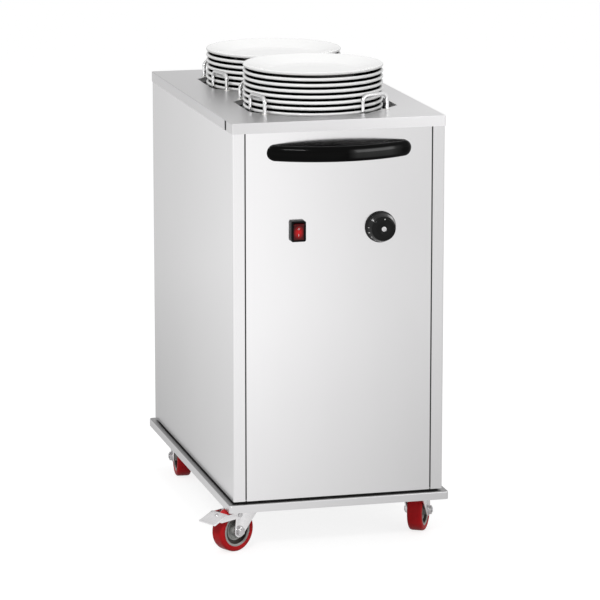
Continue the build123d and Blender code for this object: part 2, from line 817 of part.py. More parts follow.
rocker_half = pocket_height / 2 - rocker_end_gap - 1
with BuildPart() as rocker:
    with BuildSketch(Plane.YZ.offset(switch_x - pocket_width / 2 + rocker_side_gap)) as rocker_section:
        with Locations(Location((pivot_y, control_height, 0), (0, 0, rocker_tilt))):
            Polygon(
                (-rocker_reach, rocker_half),
                (-rocker_valley, 0),
                (-rocker_reach, -rocker_half),
                (0, -rocker_half),
                (rocker_back, -rocker_half / 2),
                (rocker_back, rocker_half / 2),
                (0, rocker_half),
                align=None,
            )
    extrude(amount=pocket_width - 2 * rocker_side_gap)
    with BuildSketch(Plane.YZ.offset(switch_x - pocket_width / 2 - trunnion_length + rocker_side_gap)):
        with Locations((pivot_y, control_height)):
            Circle(trunnion_radius)
    extrude(amount=pocket_width + 2 * (trunnion_length - rocker_side_gap))
nodes["switch_rocker"] = rocker

with BuildPart() as control_box:
    with BuildSketch(Plane.XZ.offset(-inner_front)):
        with Locations((0, control_height)):
            Rectangle(control_box_width, control_box_height)
    extrude(amount=-control_box_depth)
    with BuildSketch(Plane.XZ.offset(-inner_front)):
        with Locations((0, control_height)):
            Rectangle(control_box_width - 2 * control_box_sheet, control_box_height - 2 * control_box_sheet)
    extrude(amount=-control_box_depth + control_box_sheet, mode=Mode.SUBTRACT)
nodes["control_box"] = control_box

# ---- Cable gland at the back, and its nut inside the panel
with BuildPart() as cable_gland:
    with BuildSketch(rear_plane):
        with Locations((gland_x, gland_height)):
            RegularPolygon(gland_hex_radius, 6)
    extrude(amount=-gland_flange)
    with BuildSketch(rear_plane.offset(-gland_flange)):
        with Locations((gland_x, gland_height)):
            Circle(gland_body_radius)
    extrude(amount=-(gland_reach - gland_flange))
    fillet(cable_gland.faces().sort_by(Axis.Y)[-1].edges(), gland_rounding)
    with BuildSketch(rear_plane):
        with Locations((gland_x, gland_height)):
            Circle(gland_thread_radius)
    extrude(amount=panel_sheet + gland_nut_thickness + gland_thread_spare)
    with BuildSketch(rear_plane.offset(-gland_reach)):
        with Locations((gland_x, gland_height)):
            Circle(gland_bore_radius)
    extrude(amount=2 * gland_reach, mode=Mode.SUBTRACT)
nodes["cable_gland"] = cable_gland

with BuildPart() as gland_nut:
    with BuildSketch(rear_plane.offset(panel_sheet)):
        with Locations((gland_x, gland_height)):
            RegularPolygon(gland_hex_radius, 6)
            Circle(gland_thread_radius + wire_clearance, mode=Mode.SUBTRACT)
    extrude(amount=gland_nut_thickness)
nodes["gland_nut"] = gland_nut

# ---- Caster plates under the tray, each with its race and kingpin
with BuildPart() as caster_plates:
    with BuildSketch(Plane.XY.offset(caster_plate_bottom)):
        with Locations(*caster_places.values()):
            RectangleRounded(caster_plate_width, caster_plate_length, caster_plate_corner)
            with GridLocations(caster_bolt_x, caster_bolt_y, 2, 2):
                Circle(caster_bolt_radius + bolt_clearance, mode=Mode.SUBTRACT)
    extrude(amount=caster_plate_thickness)
    with BuildSketch(Plane.XY.offset(race_bottom)):
        with Locations(*caster_places.values()):
            Circle(race_radius)
    extrude(amount=caster_plate_bottom - race_bottom)
    with BuildSketch(Plane.XY.offset(crown_bottom - race_gap)):
        with Locations(*caster_places.values()):
            Circle(axle_radius)
    extrude(amount=race_bottom - crown_bottom + race_gap)
    with BuildSketch(Plane.XY.offset(crown_bottom - race_gap - kingpin_head_thickness)):
        with Locations(*caster_places.values()):
            Circle(kingpin_head)
    extrude(amount=kingpin_head_thickness)
nodes["caster_plates"] = caster_plates

with BuildPart() as caster_bolts:
    with BuildSketch(Plane.XY.offset(caster_plate_bottom)):
        with Locations(*caster_places.values()):
            with GridLocations(caster_bolt_x, caster_bolt_y, 2, 2):
                Circle(caster_bolt_radius)
    extrude(amount=tray_top - caster_plate_bottom)
    with BuildSketch(Plane.XY.offset(caster_plate_bottom)):
        with Locations(*caster_places.values()):
            with GridLocations(caster_bolt_x, caster_bolt_y, 2, 2):
                RegularPolygon(caster_bolt_head, 6)
    extrude(amount=-caster_bolt_head_thickness)
nodes["caster_bolts"] = caster_bolts


# ---- One caster, drawn with its kingpin on the Z axis and its wheel trailing towards +X
def side_plane(distance):
    # A plane square to the axle, with its normal towards -Y
    return Plane.XZ.offset(distance)


wheel_axis = Axis((trail_length, 0, axle_height), (0, 1, 0))
hub_radius = wheel_radius - tyre_thickness

with BuildPart() as fork_shape:
    with BuildSketch(Plane.XY.offset(crown_bottom)):
        Circle(crown_radius)
        with Locations(((fork_front + fork_back) / 2, 0)):
            Rectangle(fork_back - fork_front, 2 * leg_outer)
    extrude(amount=fork_sheet)
    for distance, thickness in ((leg_inner, fork_sheet), (-leg_inner, -fork_sheet)):
        with BuildSketch(side_plane(distance)):
            with Locations((trail_length, axle_height)):
                Circle(fork_end_radius)
            with Locations(((fork_front + fork_back) / 2, crown_top - fork_sheet / 2)):
                Rectangle(fork_back - fork_front, fork_sheet)
            make_hull()
        extrude(amount=thickness)
    with BuildSketch(side_plane(leg_outer + cut_spare)):
        with Locations((trail_length, axle_height)):
            Circle(axle_radius + axle_clearance)
        with Locations((pedal_pin_back, pedal_pin_height)):
            Circle(pedal_pin_radius + wire_clearance)
    extrude(amount=-2 * (leg_outer + cut_spare), mode=Mode.SUBTRACT)
    with BuildSketch(Plane.XY.offset(crown_bottom)):
        Circle(axle_radius + axle_clearance)
    extrude(amount=fork_sheet, mode=Mode.SUBTRACT)

with BuildPart() as hub_shape:
    with BuildSketch(Plane.YZ.offset(trail_length)):
        with Locations((0, axle_height + hub_radius - hub_rim / 2)):
            Rectangle(hub_rim_width, hub_rim)
        with Locations((0, axle_height + (hub_boss_radius + hub_radius) / 2 - hub_rim / 2)):
            Rectangle(hub_web_width, hub_radius - hub_boss_radius)
        with Locations((0, axle_height + hub_rib_radius)):
            Rectangle(hub_rib_width, hub_rib)
        boss_bore = axle_radius + axle_clearance
        with Locations((0, axle_height + (hub_boss_radius + boss_bore) / 2)):
            Rectangle(2 * (leg_inner - hub_side_play), hub_boss_radius - boss_bore)
    revolve(axis=wheel_axis)

with BuildPart() as tyre_shape:
    with BuildSketch(Plane.YZ.offset(trail_length)) as tyre_section:
        with Locations((0, axle_height + wheel_radius - (tyre_thickness - tyre_gap) / 2)):
            Rectangle(wheel_width, tyre_thickness - tyre_gap)
        fillet(tyre_section.vertices().group_by(Axis.Y)[-1], tyre_shoulder)
    revolve(axis=wheel_axis)

with BuildPart() as axle_shape:
    with BuildSketch(side_plane(leg_outer)):
        with Locations((trail_length, axle_height)):
            Circle(axle_radius)
    extrude(amount=-2 * leg_outer)
    for distance, thickness in ((leg_outer, axle_nut_thickness), (-leg_outer, -axle_nut_thickness)):
        with BuildSketch(side_plane(distance)):
            with Locations((trail_length, axle_height)):
                RegularPolygon(axle_nut, 6)
        extrude(amount=thickness)
        with BuildSketch(side_plane(distance)):
            with Locations((trail_length, axle_height)):
                Circle(axle_radius)
        extrude(amount=thickness + math.copysign(axle_end, thickness))

arm_inner = leg_outer + pedal_arm_play
arm_outer = arm_inner + pedal_arm_sheet
with BuildPart() as pedal_shape:
    with BuildSketch(side_plane(arm_outer)):
        Polygon(
            (pedal_inner, pedal_inner_height),
            (pedal_outer, pedal_inner_height - pedal_drop),
            (pedal_outer - pedal_bevel, pedal_inner_height - pedal_drop - pedal_sheet),
            (pedal_inner + pedal_sheet, pedal_inner_height - pedal_sheet - pedal_bevel),
            (pedal_inner + pedal_sheet, pedal_shoe_height),
            (pedal_inner, pedal_shoe_height),
            align=None,
        )
    extrude(amount=-2 * arm_outer)
    for distance, thickness in ((arm_inner, pedal_arm_sheet), (-arm_inner, -pedal_arm_sheet)):
        with BuildSketch(side_plane(distance)):
            with Locations((pedal_pin_back, pedal_pin_height)):
                Circle(pedal_arm_end)
            Polygon(
                (pedal_inner + pedal_arm_inset, pedal_inner_height - pedal_arm_inset),
                (pedal_outer - pedal_arm_reach, pedal_inner_height - pedal_drop + pedal_sheet),
                (pedal_outer - pedal_arm_back, pedal_inner_height - pedal_drop),
                (pedal_inner, pedal_shoe_height - pedal_arm_drop),
                align=None,
            )
            make_hull()
        extrude(amount=thickness)
    with BuildSketch(side_plane(arm_outer)):
        with Locations((pedal_pin_back, pedal_pin_height)):
            Circle(pedal_pin_radius + shaft_clearance)
    extrude(amount=-2 * arm_outer, mode=Mode.SUBTRACT)

with BuildPart() as pedal_pin_shape:
    for distance, direction in ((leg_inner, 1), (-leg_inner, -1)):
        pin_length = arm_outer - leg_inner + pin_end_play
        with BuildSketch(side_plane(distance + direction * pin_inset)):
            with Locations((pedal_pin_back, pedal_pin_height)):
                Circle(pedal_pin_radius)
        extrude(amount=direction * pin_length)
        with BuildSketch(side_plane(distance + direction * (pin_inset + pin_length))):
            with Locations((pedal_pin_back, pedal_pin_height)):
                Circle(pedal_pin_head)
        extrude(amount=direction * pedal_pin_head_thickness)


def place_caster(corner, shape):
    x, y = caster_places[corner]
    with BuildPart() as placed:
        with Locations(Location((x, y, 0), (0, 0, trail_angles[corner]))):
            add(shape.part)
    return placed


for corner in caster_places:
    nodes[f"{corner}_fork"] = place_caster(corner, fork_shape)
    nodes[f"{corner}_hub"] = place_caster(corner, hub_shape)
    nodes[f"{corner}_tyre"] = place_caster(corner, tyre_shape)
    nodes[f"{corner}_axle"] = place_caster(corner, axle_shape)
    if corner in braked:
        nodes[f"{corner}_brake_pedal"] = place_caster(corner, pedal_shape)
        nodes[f"{corner}_brake_pins"] = place_caster(corner, pedal_pin_shape)

for name, piece in nodes.items():
    piece.part.label = name
    export_step(piece.part, f"parts/{name}.step")
print(len(nodes), "nodes")
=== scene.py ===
import json
import math

import bmesh
import bpy
from mathutils import Matrix, Vector

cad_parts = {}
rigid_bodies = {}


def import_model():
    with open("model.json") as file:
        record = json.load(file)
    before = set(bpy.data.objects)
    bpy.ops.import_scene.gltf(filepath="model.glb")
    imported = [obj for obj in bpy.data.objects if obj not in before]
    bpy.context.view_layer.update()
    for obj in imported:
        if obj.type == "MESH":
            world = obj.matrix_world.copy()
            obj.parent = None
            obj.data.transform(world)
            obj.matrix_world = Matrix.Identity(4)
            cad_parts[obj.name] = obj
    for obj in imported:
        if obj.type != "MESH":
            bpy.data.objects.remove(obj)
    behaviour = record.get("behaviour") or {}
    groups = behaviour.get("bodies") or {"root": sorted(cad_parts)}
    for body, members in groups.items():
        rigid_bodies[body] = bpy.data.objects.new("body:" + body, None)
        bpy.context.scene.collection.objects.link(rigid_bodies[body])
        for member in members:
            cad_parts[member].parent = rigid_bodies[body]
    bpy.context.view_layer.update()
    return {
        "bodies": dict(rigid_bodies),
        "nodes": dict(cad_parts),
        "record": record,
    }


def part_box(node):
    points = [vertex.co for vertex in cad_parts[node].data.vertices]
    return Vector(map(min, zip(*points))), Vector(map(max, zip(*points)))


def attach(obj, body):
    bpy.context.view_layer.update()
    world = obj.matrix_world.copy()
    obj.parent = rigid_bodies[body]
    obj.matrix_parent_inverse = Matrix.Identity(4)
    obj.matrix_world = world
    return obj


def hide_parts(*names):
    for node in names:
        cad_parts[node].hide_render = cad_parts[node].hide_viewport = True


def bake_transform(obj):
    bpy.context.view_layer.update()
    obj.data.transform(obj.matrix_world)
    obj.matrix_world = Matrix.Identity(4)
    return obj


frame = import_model()
nodes = frame["nodes"]
record = frame["record"]
joints = {joint["name"]: joint for joint in record["behaviour"]["joints"]}
cornerNames = ("front_left", "front_right", "rear_left", "rear_right")
wells = ("front", "rear")
mm = 0.001
weld = 0.01 * mm  # points nearer to each other than this become one
print("frame loaded with", len(nodes), "pieces")


def only(piece):
    # object mode, with this piece alone selected
    if bpy.context.object and bpy.context.object.mode == "EDIT":
        bpy.ops.object.mode_set(mode="OBJECT")
    bpy.ops.object.select_all(action="DESELECT")
    piece.select_set(True)
    bpy.context.view_layer.objects.active = piece


def editing(piece):
    only(piece)
    bpy.ops.object.mode_set(mode="EDIT")
    bpy.ops.mesh.select_all(action="SELECT")


def pick(piece, kind, wanted):
    # in edit mode, selects the faces or the edges whose direction suits
    bpy.ops.mesh.select_mode(type=kind)
    bpy.ops.mesh.select_all(action="DESELECT")
    shape = bmesh.from_edit_mesh(piece.data)
    if kind == "FACE":
        found = [face for face in shape.faces if wanted(face.normal)]
    else:
        found = [edge for edge in shape.edges if wanted((edge.verts[1].co - edge.verts[0].co).normalized())]
    for part in found:
        part.select_set(True)
    shape.select_flush_mode()
    bmesh.update_edit_mesh(piece.data)


def settle(piece, angle=35):
    # place and turn go into the mesh, faces point outwards, and soft edges shade smoothly
    only(piece)
    bpy.ops.object.transform_apply(location=True, rotation=True, scale=True)
    editing(piece)
    bpy.ops.mesh.normals_make_consistent(inside=False)
    only(piece)
    bpy.ops.object.shade_smooth_by_angle(angle=math.radians(angle))
    return piece


def modify(piece, kind, **settings):
    only(piece)
    modifier = piece.modifiers.new(kind.lower(), kind)
    for name, value in settings.items():
        setattr(modifier, name, value)
    bpy.ops.object.modifier_apply(modifier=modifier.name)
    return piece


def started(name, primitive, **settings):
    # a new primitive, alone in the selection, with its place and size in its mesh
    bpy.ops.object.select_all(action="DESELECT")
    primitive(**settings)
    piece = bpy.context.object
    piece.name = name
    bpy.ops.object.transform_apply(location=True, rotation=True, scale=True)
    return piece


def turned(name, rings, sides, ring=False):
    # a circle drawn out ring by ring along Z, each (radius, height); a ring closes on itself
    radius, height = rings[0]
    circle = bpy.ops.mesh.primitive_circle_add
    piece = started(name, circle, vertices=sides, radius=radius, location=(0, 0, height))
    editing(piece)
    bpy.ops.mesh.select_mode(type="EDGE")
    for nextRadius, nextHeight in rings[1:]:
        bpy.ops.mesh.extrude_region_move(TRANSFORM_OT_translate={"value": (0, 0, nextHeight - height)})
        share = nextRadius / radius
        bpy.ops.transform.resize(value=(share, share, 1), center_override=(0, 0, nextHeight))
        radius, height = nextRadius, nextHeight
    bpy.ops.mesh.select_all(action="DESELECT")
    bpy.ops.mesh.select_non_manifold()
    if ring:
        bpy.ops.mesh.bridge_edge_loops()
    else:
        bpy.ops.mesh.fill_holes(sides=0)
    only(piece)
    return piece


def lathed(name, rings, sides, angle, ring=False):
    # turned from rings in mm, and smooth where its faces meet within the angle
    return settle(turned(name, [(radius * mm, height * mm) for radius, height in rings], sides, ring), angle)


def turnBy(degrees, axis):
    return Matrix.Rotation(math.radians(degrees), 4, axis)


def onCircle(centre, radius, degrees, height=0):
    around = math.radians(degrees)
    return Vector((centre[0] + radius * math.cos(around), centre[1] + radius * math.sin(around), height))


def moved(piece, matrix):
    piece.data.transform(matrix)
    piece.data.update()
    return piece


def another(piece, name, matrix=None):
    made = piece.copy()
    made.data = piece.data.copy()
    made.name = name
    bpy.context.scene.collection.objects.link(made)
    return moved(made, matrix) if matrix else made


def thrownAway(*pieces):
    for piece in pieces:
        bpy.data.objects.remove(piece, do_unlink=True)


def joined(pieces, name):
    only(pieces[0])
    for piece in pieces:
        piece.select_set(True)
    bpy.ops.object.join()
    made = bpy.context.object
    made.name = name
    return made


def dressed(piece, finish, node=None):
    # gives a piece its finish, and hides the CAD piece that it stands for
    piece.data.materials.clear()
    piece.data.materials.append(finishes[finish])
    if node:
        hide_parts(node)
    return piece


def fitted(piece, body, finish, node=None):
    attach(piece, body)
    return dressed(piece, finish, node)


softEdge = {"flatWithin": 1, "sharpFrom": 40, "segments": 2}


def softened(node, width, name):
    # a copy of a CAD piece to stand for it, whole across its flats and with its corners broken
    made = another(nodes[node], name)
    made.parent = None
    for key in list(made.keys()):
        del made[key]
    editing(made)
    bpy.ops.mesh.remove_doubles(threshold=weld)
    bpy.ops.mesh.dissolve_limited(angle_limit=math.radians(softEdge["flatWithin"]))
    modify(
        made, "BEVEL", width=width, segments=softEdge["segments"], limit_method="ANGLE",
        angle_limit=math.radians(softEdge["sharpFrom"]), harden_normals=False, miter_outer="MITER_ARC",
    )
    return settle(made, angle=40)


def cutSlot(piece, size, height):
    # cuts a driver's slot across the top of a screw head
    cutter = started("cutter", bpy.ops.mesh.primitive_cube_add, size=1, location=(0, 0, height), scale=size)
    modify(piece, "BOOLEAN", operation="DIFFERENCE", solver="EXACT", object=cutter)
    thrownAway(cutter)
    settle(piece)


class Flow:  # one output socket, so that shader maths reads as an expression
    def __init__(self, recipe, socket):
        self.recipe = recipe
        self.socket = socket

    def calc(self, operation, *values):
        return self.recipe.node("ShaderNodeMath", {"operation": operation}, dict(enumerate(values)))

    def __add__(self, other):
        return self.calc("ADD", self, other)

    def __radd__(self, other):
        return self.calc("ADD", other, self)

    def __sub__(self, other):
        return self.calc("SUBTRACT", self, other)

    def __rsub__(self, other):
        return self.calc("SUBTRACT", other, self)

    def __mul__(self, other):
        return self.calc("MULTIPLY", self, other)

    def __rmul__(self, other):
        return self.calc("MULTIPLY", other, self)

    def __abs__(self):
        return self.calc("ABSOLUTE", self)


class Recipe:
    def __init__(self, tree):
        self.tree = tree
        self.tree.nodes.clear()

    def node(self, kind, settings, values, output=0):
        made = self.tree.nodes.new(kind)
        for name, value in settings.items():
            if name == "stops":
                while len(made.color_ramp.elements) < len(value):
                    made.color_ramp.elements.new(0.5)
                for element, (place, tone) in zip(made.color_ramp.elements, value):
                    element.position = place
                    element.color = grey(tone)
            else:
                setattr(made, name, value)
        for name, value in values.items():
            if isinstance(value, Flow):
                self.tree.links.new(value.socket, made.inputs[name])
            else:
                made.inputs[name].default_value = value
        return Flow(self, made.outputs[output]) if len(made.outputs) else made

    def place(self, stretch=(1, 1, 1), centre=(0, 0, 0)):
        # the piece's own coordinates in metres, from the centre and stretched
        here = self.node("ShaderNodeTexCoord", {}, {}, "Object")
        away = self.node("ShaderNodeVectorMath", {"operation": "SUBTRACT"}, {0: here, 1: centre})
        return self.node("ShaderNodeMapping", {"vector_type": "POINT"}, {"Vector": away, "Scale": stretch})

    def distance(self, stretch, centre):
        values = {0: self.place(stretch, centre)}
        return self.node("ShaderNodeVectorMath", {"operation": "LENGTH"}, values, "Value")

    def axis(self, vector, letter):
        return self.node("ShaderNodeSeparateXYZ", {}, {"Vector": vector}, letter)

    def noise(self, pattern, stretch=(1, 1, 1)):
        scale, detail, rough = pattern
        values = {"Vector": self.place(stretch), "Scale": scale, "Detail": detail, "Roughness": rough}
        return self.node("ShaderNodeTexNoise", {}, values)

    def ramp(self, factor, stops):
        return self.node("ShaderNodeValToRGB", {"stops": stops}, {"Fac": factor})

    def blend(self, factor, first, last):
        # a tone is one number for a grey, three for a colour
        ends = (tone if isinstance(tone, Flow) else grey(tone) for tone in (first, last))
        values = dict(zip((0, 6, 7), (factor, *ends)))
        return self.node("ShaderNodeMix", {"data_type": "RGBA", "clamp_factor": True}, values, 2)

    def bump(self, height, strength, distance):
        values = {"Height": height, "Strength": strength, "Distance": distance}
        return self.node("ShaderNodeBump", {}, values)

    def spread(self, value, low, high, newLow, newHigh):
        values = {0: value, 1: low, 2: high, 3: newLow, 4: newHigh}
        return self.node("ShaderNodeMapRange", {"clamp": True}, values)

    def surface(self, **values):
        plain = {name.replace("_", " "): value for name, value in values.items()}
        shader = self.node("ShaderNodeBsdfPrincipled", {}, plain)
        self.node("ShaderNodeOutputMaterial", {}, {"Surface": shader})


def grey(tone):
    return (*tone, 1) if isinstance(tone, tuple) else (tone, tone, tone, 1)


def finishNamed(name):
    made = bpy.data.materials.new(name)
    made.use_nodes = True
    return made, Recipe(made.node_tree)


noiseMiddle = 0.5
# a pattern is its scale, its layers of detail and how rough they are; four numbers in a row spread
# the first two over the last two; a bump is its strength and depth
sheetMetal = {
    "grain": (1.0, 2.0, 0.5), "across": 5200, "along": 18, "grainBump": (0.2, 0.000008), "grainGloss": 0.03,
    "clouds": (3.5, 4.0, 0.6), "cloudShare": 0.35, "mottleFrom": (0.35, 1.0), "mottleTo": (0.97, 1.02),
    "cloudGloss": 0.05, "wiping": (2.0, 5.0, 0.65), "wipingStretch": (9, 9, 2.5), "smudge": 0.05,
    "smudgeTone": 0.5, "green": 0.992,
}


def brushedSheet(name, grain, tone, roughness, paintedShades=()):
    # stainless sheet with a fine grain along one axis, cloudy rolling marks and faint wiping;
    # each painted shade is an axis, two places along it and the tones there, which make the sheet lighter or
    # darker as painted light and shade
    made, recipe = finishNamed(name)
    stretch = tuple(sheetMetal["along"] if letter == grain else sheetMetal["across"] for letter in "XYZ")
    lines = recipe.noise(sheetMetal["grain"], stretch)
    clouds = recipe.noise(sheetMetal["clouds"])
    wiping = recipe.noise(sheetMetal["wiping"], sheetMetal["wipingStretch"])
    mottle = (share * tone for share in sheetMetal["mottleTo"])
    shade = recipe.spread(lines + sheetMetal["cloudShare"] * clouds, *sheetMetal["mottleFrom"], *mottle)
    # painted light and shade: the colour is made lighter or darker along each axis given
    for letter, *places in paintedShades:
        shade = shade * recipe.spread(recipe.axis(recipe.place(), letter), *places)
    tones = {0: shade, 1: shade * sheetMetal["green"], 2: shade}
    steel = recipe.node("ShaderNodeCombineColor", {}, tones)
    cloudy = sheetMetal["cloudGloss"] * (clouds - noiseMiddle)
    lined = sheetMetal["grainGloss"] * (lines - noiseMiddle)
    recipe.surface(
        Base_Color=recipe.blend(wiping * sheetMetal["smudge"], steel, sheetMetal["smudgeTone"]),
        Metallic=1.0,
        Roughness=roughness + cloudy + lined,
        Normal=recipe.bump(lines, *sheetMetal["grainBump"]),
    )
    return made


plating = {
    "bright": (1, 0.985, 0.99), "dull": (0.96, 0.95, 0.965), "spangleGloss": 0.03, "bump": (0.08, 0.0001),
    "dirt": (60, 4, 0.6), "dirty": (0.55, 0.8, 0, 0.08), "dirtTone": (0.38, 0.37, 0.35), "dirtGloss": 0.08,
}


def platedSteel(name, tone, roughness, spangles):
    # zinc plate: small spangles and a little dirt
    made, recipe = finishNamed(name)
    values = {"Vector": recipe.place(), "Scale": spangles}
    patch = recipe.axis(recipe.node("ShaderNodeTexVoronoi", {}, values, "Color"), "X")
    dirt = recipe.noise(plating["dirt"])
    bright, dull = (tuple(tone * share for share in plating[tint]) for tint in ("bright", "dull"))
    dirty = plating["dirtGloss"] * (dirt - noiseMiddle)
    spangled = plating["spangleGloss"] * (patch - noiseMiddle)
    zinc = recipe.blend(patch, bright, dull)
    recipe.surface(
        Base_Color=recipe.blend(recipe.spread(dirt, *plating["dirty"]), zinc, plating["dirtTone"]),
        Metallic=1.0,
        Roughness=roughness + dirty + spangled,
        Normal=recipe.bump(dirt, *plating["bump"]),
    )
    return made


wireShine = {
    "marks": (240, 3, 0.5), "stretch": (1, 1, 0.25), "tones": (0.86, 0.72),
    "roughness": (0.3, 0.8, 0.05, 0.16), "bump": (0.06, 0.0001),
}


def polishedWire(name):
    made, recipe = finishNamed(name)
    marks = recipe.noise(wireShine["marks"], wireShine["stretch"])
    recipe.surface(
        Base_Color=recipe.blend(marks, *wireShine["tones"]),
        Metallic=1.0,
        Roughness=recipe.spread(marks, *wireShine["roughness"]),
        Normal=recipe.bump(marks, *wireShine["bump"]),
    )
    return made


glaze = {
    "waver": (22, 2, 0.5), "tones": ((0.88, 0.88, 0.875), (0.84, 0.84, 0.835)), "gloss": 0.5, "coat": 0.35,
    "coatRoughness": 0.04, "roughness": (0.3, 0.7, 0.07, 0.13), "bump": (0.08, 0.0006),
    "pins": (900, 1, 0.5), "pinned": (0.72, 0.85, 0, 0.35), "pinTone": (0.45, 0.42, 0.38),
    "paintedShadeInside": 0.01, "paintedLightRim": (0.97, 0.97, 0.965), "rimCoat": 0.6, "rim": (139 * mm, 144 * mm, 0, 1),
}


def glazedWhite(name, centre=None):
    # glaze over white ware: nearly even, with a slow waver and rare pin holes; in a stack
    # around the centre, the glaze inside the rims is painted near black as shade and the rims are painted
    # lighter
    made, recipe = finishNamed(name)
    waver = recipe.noise(glaze["waver"])
    pins = recipe.noise(glaze["pins"])
    if centre:
        rim = recipe.spread(recipe.distance((1, 1, 0), centre), *glaze["rim"])
        body = recipe.blend(rim, glaze["paintedShadeInside"], glaze["paintedLightRim"])
        gloss, coat = 0.0, glaze["rimCoat"] * rim
    else:
        body = recipe.blend(waver, *glaze["tones"])
        gloss, coat = glaze["gloss"], glaze["coat"]
    recipe.surface(
        Base_Color=recipe.blend(recipe.spread(pins, *glaze["pinned"]), body, glaze["pinTone"]),
        Roughness=recipe.spread(waver, *glaze["roughness"]),
        Specular_IOR_Level=gloss,
        Coat_Weight=coat,
        Coat_Roughness=glaze["coatRoughness"],
        Normal=recipe.bump(waver, *glaze["bump"]),
    )
    return made


moulding = {
    "rub": (35, 5, 0.65), "rubbed": (0.6, 0.85, 0, 0.4), "rubMiddle": 0.45, "rubGloss": 0.12,
    "skin": (3, 0.6), "skinGloss": 0.05, "bump": 0.3,
}


def mouldedPlastic(name, tone, roughness, texture, depth, wear, gloss=0.5):
    # moulded plastic: a grain in the skin and a little rubbing where the skin is high
    made, recipe = finishNamed(name)
    skin = recipe.noise((texture, *moulding["skin"]))
    rub = recipe.noise(moulding["rub"])
    rubbing = moulding["rubGloss"] * (rub - moulding["rubMiddle"])
    recipe.surface(
        Base_Color=recipe.blend(recipe.spread(rub, *moulding["rubbed"]), tone, wear),
        Roughness=roughness + rubbing + moulding["skinGloss"] * (skin - noiseMiddle),
        Specular_IOR_Level=gloss,
        Normal=recipe.bump(skin, moulding["bump"], depth),
    )
    return made


grip = {
    "tones": (0.001, 0.003), "roughness": 0.12, "rubGloss": 0.08, "gloss": 0.06,
    # where hands polish it: from the middle it begins and ends along X, and it is this far up and down
    "middle": (0, 0, 0.837), "begins": (0.004, 0.024, 0, 1), "ends": (0.1, 0.13, 1, 0),
    "upAndDown": (0.0075, 0.0105, 1, 0), "polish": 0.7, "polishVaries": 0.4, "polishRoughness": 0.12,
}


def grippedPlastic(name):
    # gloss black, polished by hands where it is gripped most
    made, recipe = finishNamed(name)
    here = recipe.place(centre=grip["middle"])
    along, up = recipe.axis(here, "X"), recipe.axis(here, "Z")
    rub = recipe.noise(moulding["rub"])
    held = recipe.spread(along, *grip["begins"]) * recipe.spread(along, *grip["ends"])
    held = held * recipe.spread(abs(up), *grip["upAndDown"])
    recipe.surface(
        Base_Color=recipe.blend(recipe.spread(rub, *moulding["rubbed"]), *grip["tones"]),
        Roughness=grip["roughness"] + grip["rubGloss"] * (rub - moulding["rubMiddle"]),
        Specular_IOR_Level=grip["gloss"],
        Coat_Weight=held * (grip["polish"] + grip["polishVaries"] * (rub - noiseMiddle)),
        Coat_Roughness=grip["polishRoughness"],
    )
    return made


rubber = {
    "cast": (90, 3, 0.5), "reds": ((0.60, 0.014, 0.018), (0.52, 0.012, 0.016)), "gloss": 0.12,
    "roughness": (0.35, 0.75, 0.34, 0.5), "bump": (0.2, 0.0002),
    "dust": (38, 6, 0.7), "dusty": (0.6, 0.85, 0, 0.15), "dustTone": (0.2, 0.05, 0.04),
}


def redRubber(name):
    # cast polyurethane: waxy red, darker where it has rolled through dust
    made, recipe = finishNamed(name)
    cast = recipe.noise(rubber["cast"])
    dust = recipe.noise(rubber["dust"])
    red = recipe.blend(cast, *rubber["reds"])
    recipe.surface(
        Base_Color=recipe.blend(recipe.spread(dust, *rubber["dusty"]), red, rubber["dustTone"]),
        Roughness=recipe.spread(dust, *rubber["roughness"]),
        Specular_IOR_Level=rubber["gloss"],
        Normal=recipe.bump(cast, *rubber["bump"]),
    )
    return made


lens = {
    "stretch": (1, 0.4, 0.75), "glow": (0.002, 0.011, 1, 0), "lamp": (0.16, 0.003, 0.004), "gloss": 0.2,
    "reds": ((0.08, 0.004, 0.005), (0.52, 0.010, 0.012)), "streak": (160, 3, 0.5),
    "roughness": (0.3, 0.7, 0.12, 0.22), "bump": (0.08, 0.0001),
}


def litRed(name, middle):
    # a translucent red cap, brightest in the middle where its lamp sits
    made, recipe = finishNamed(name)
    glow = recipe.spread(recipe.distance(lens["stretch"], middle), *lens["glow"])
    streak = recipe.noise(lens["streak"])
    recipe.surface(
        Base_Color=recipe.blend(glow, *lens["reds"]),
        Emission_Color=recipe.blend(glow, 0.0, lens["lamp"]),
        Emission_Strength=1.0,
        Roughness=recipe.spread(streak, *lens["roughness"]),
        Specular_IOR_Level=lens["gloss"],
        Normal=recipe.bump(streak, *lens["bump"]),
    )
    return made


ink = {
    "worn": (900, 3, 0.6), "gone": (0.5, 0.75, 0, 0.5), "tones": ((0.86, 0.86, 0.84), 0.35),
    "roughness": 0.45, "wornGloss": 0.1,
}


def printedWhite(name):
    made, recipe = finishNamed(name)
    worn = recipe.noise(ink["worn"])
    recipe.surface(
        Base_Color=recipe.blend(recipe.spread(worn, *ink["gone"]), *ink["tones"]),
        Roughness=ink["roughness"] + ink["wornGloss"] * worn,
    )
    return made


heaterSkin = {
    "heat": (14, 3, 0.5), "scale": (420, 3, 0.6), "metal": 0.9, "roughness": 0.38, "scaleGloss": 0.2,
    "tints": ((0.3, (0.36, 0.30, 0.22)), (0.5, (0.34, 0.33, 0.33)), (0.7, (0.20, 0.22, 0.30))),
    "bump": (0.3, 0.0001),
}


def heatedTube(name):
    # a sheathed heater: straw and blue tints come and go along it
    made, recipe = finishNamed(name)
    scale = recipe.noise(heaterSkin["scale"])
    recipe.surface(
        Base_Color=recipe.ramp(recipe.noise(heaterSkin["heat"]), heaterSkin["tints"]),
        Metallic=heaterSkin["metal"],
        Roughness=heaterSkin["roughness"] + heaterSkin["scaleGloss"] * scale,
        Normal=recipe.bump(scale, *heaterSkin["bump"]),
    )
    return made


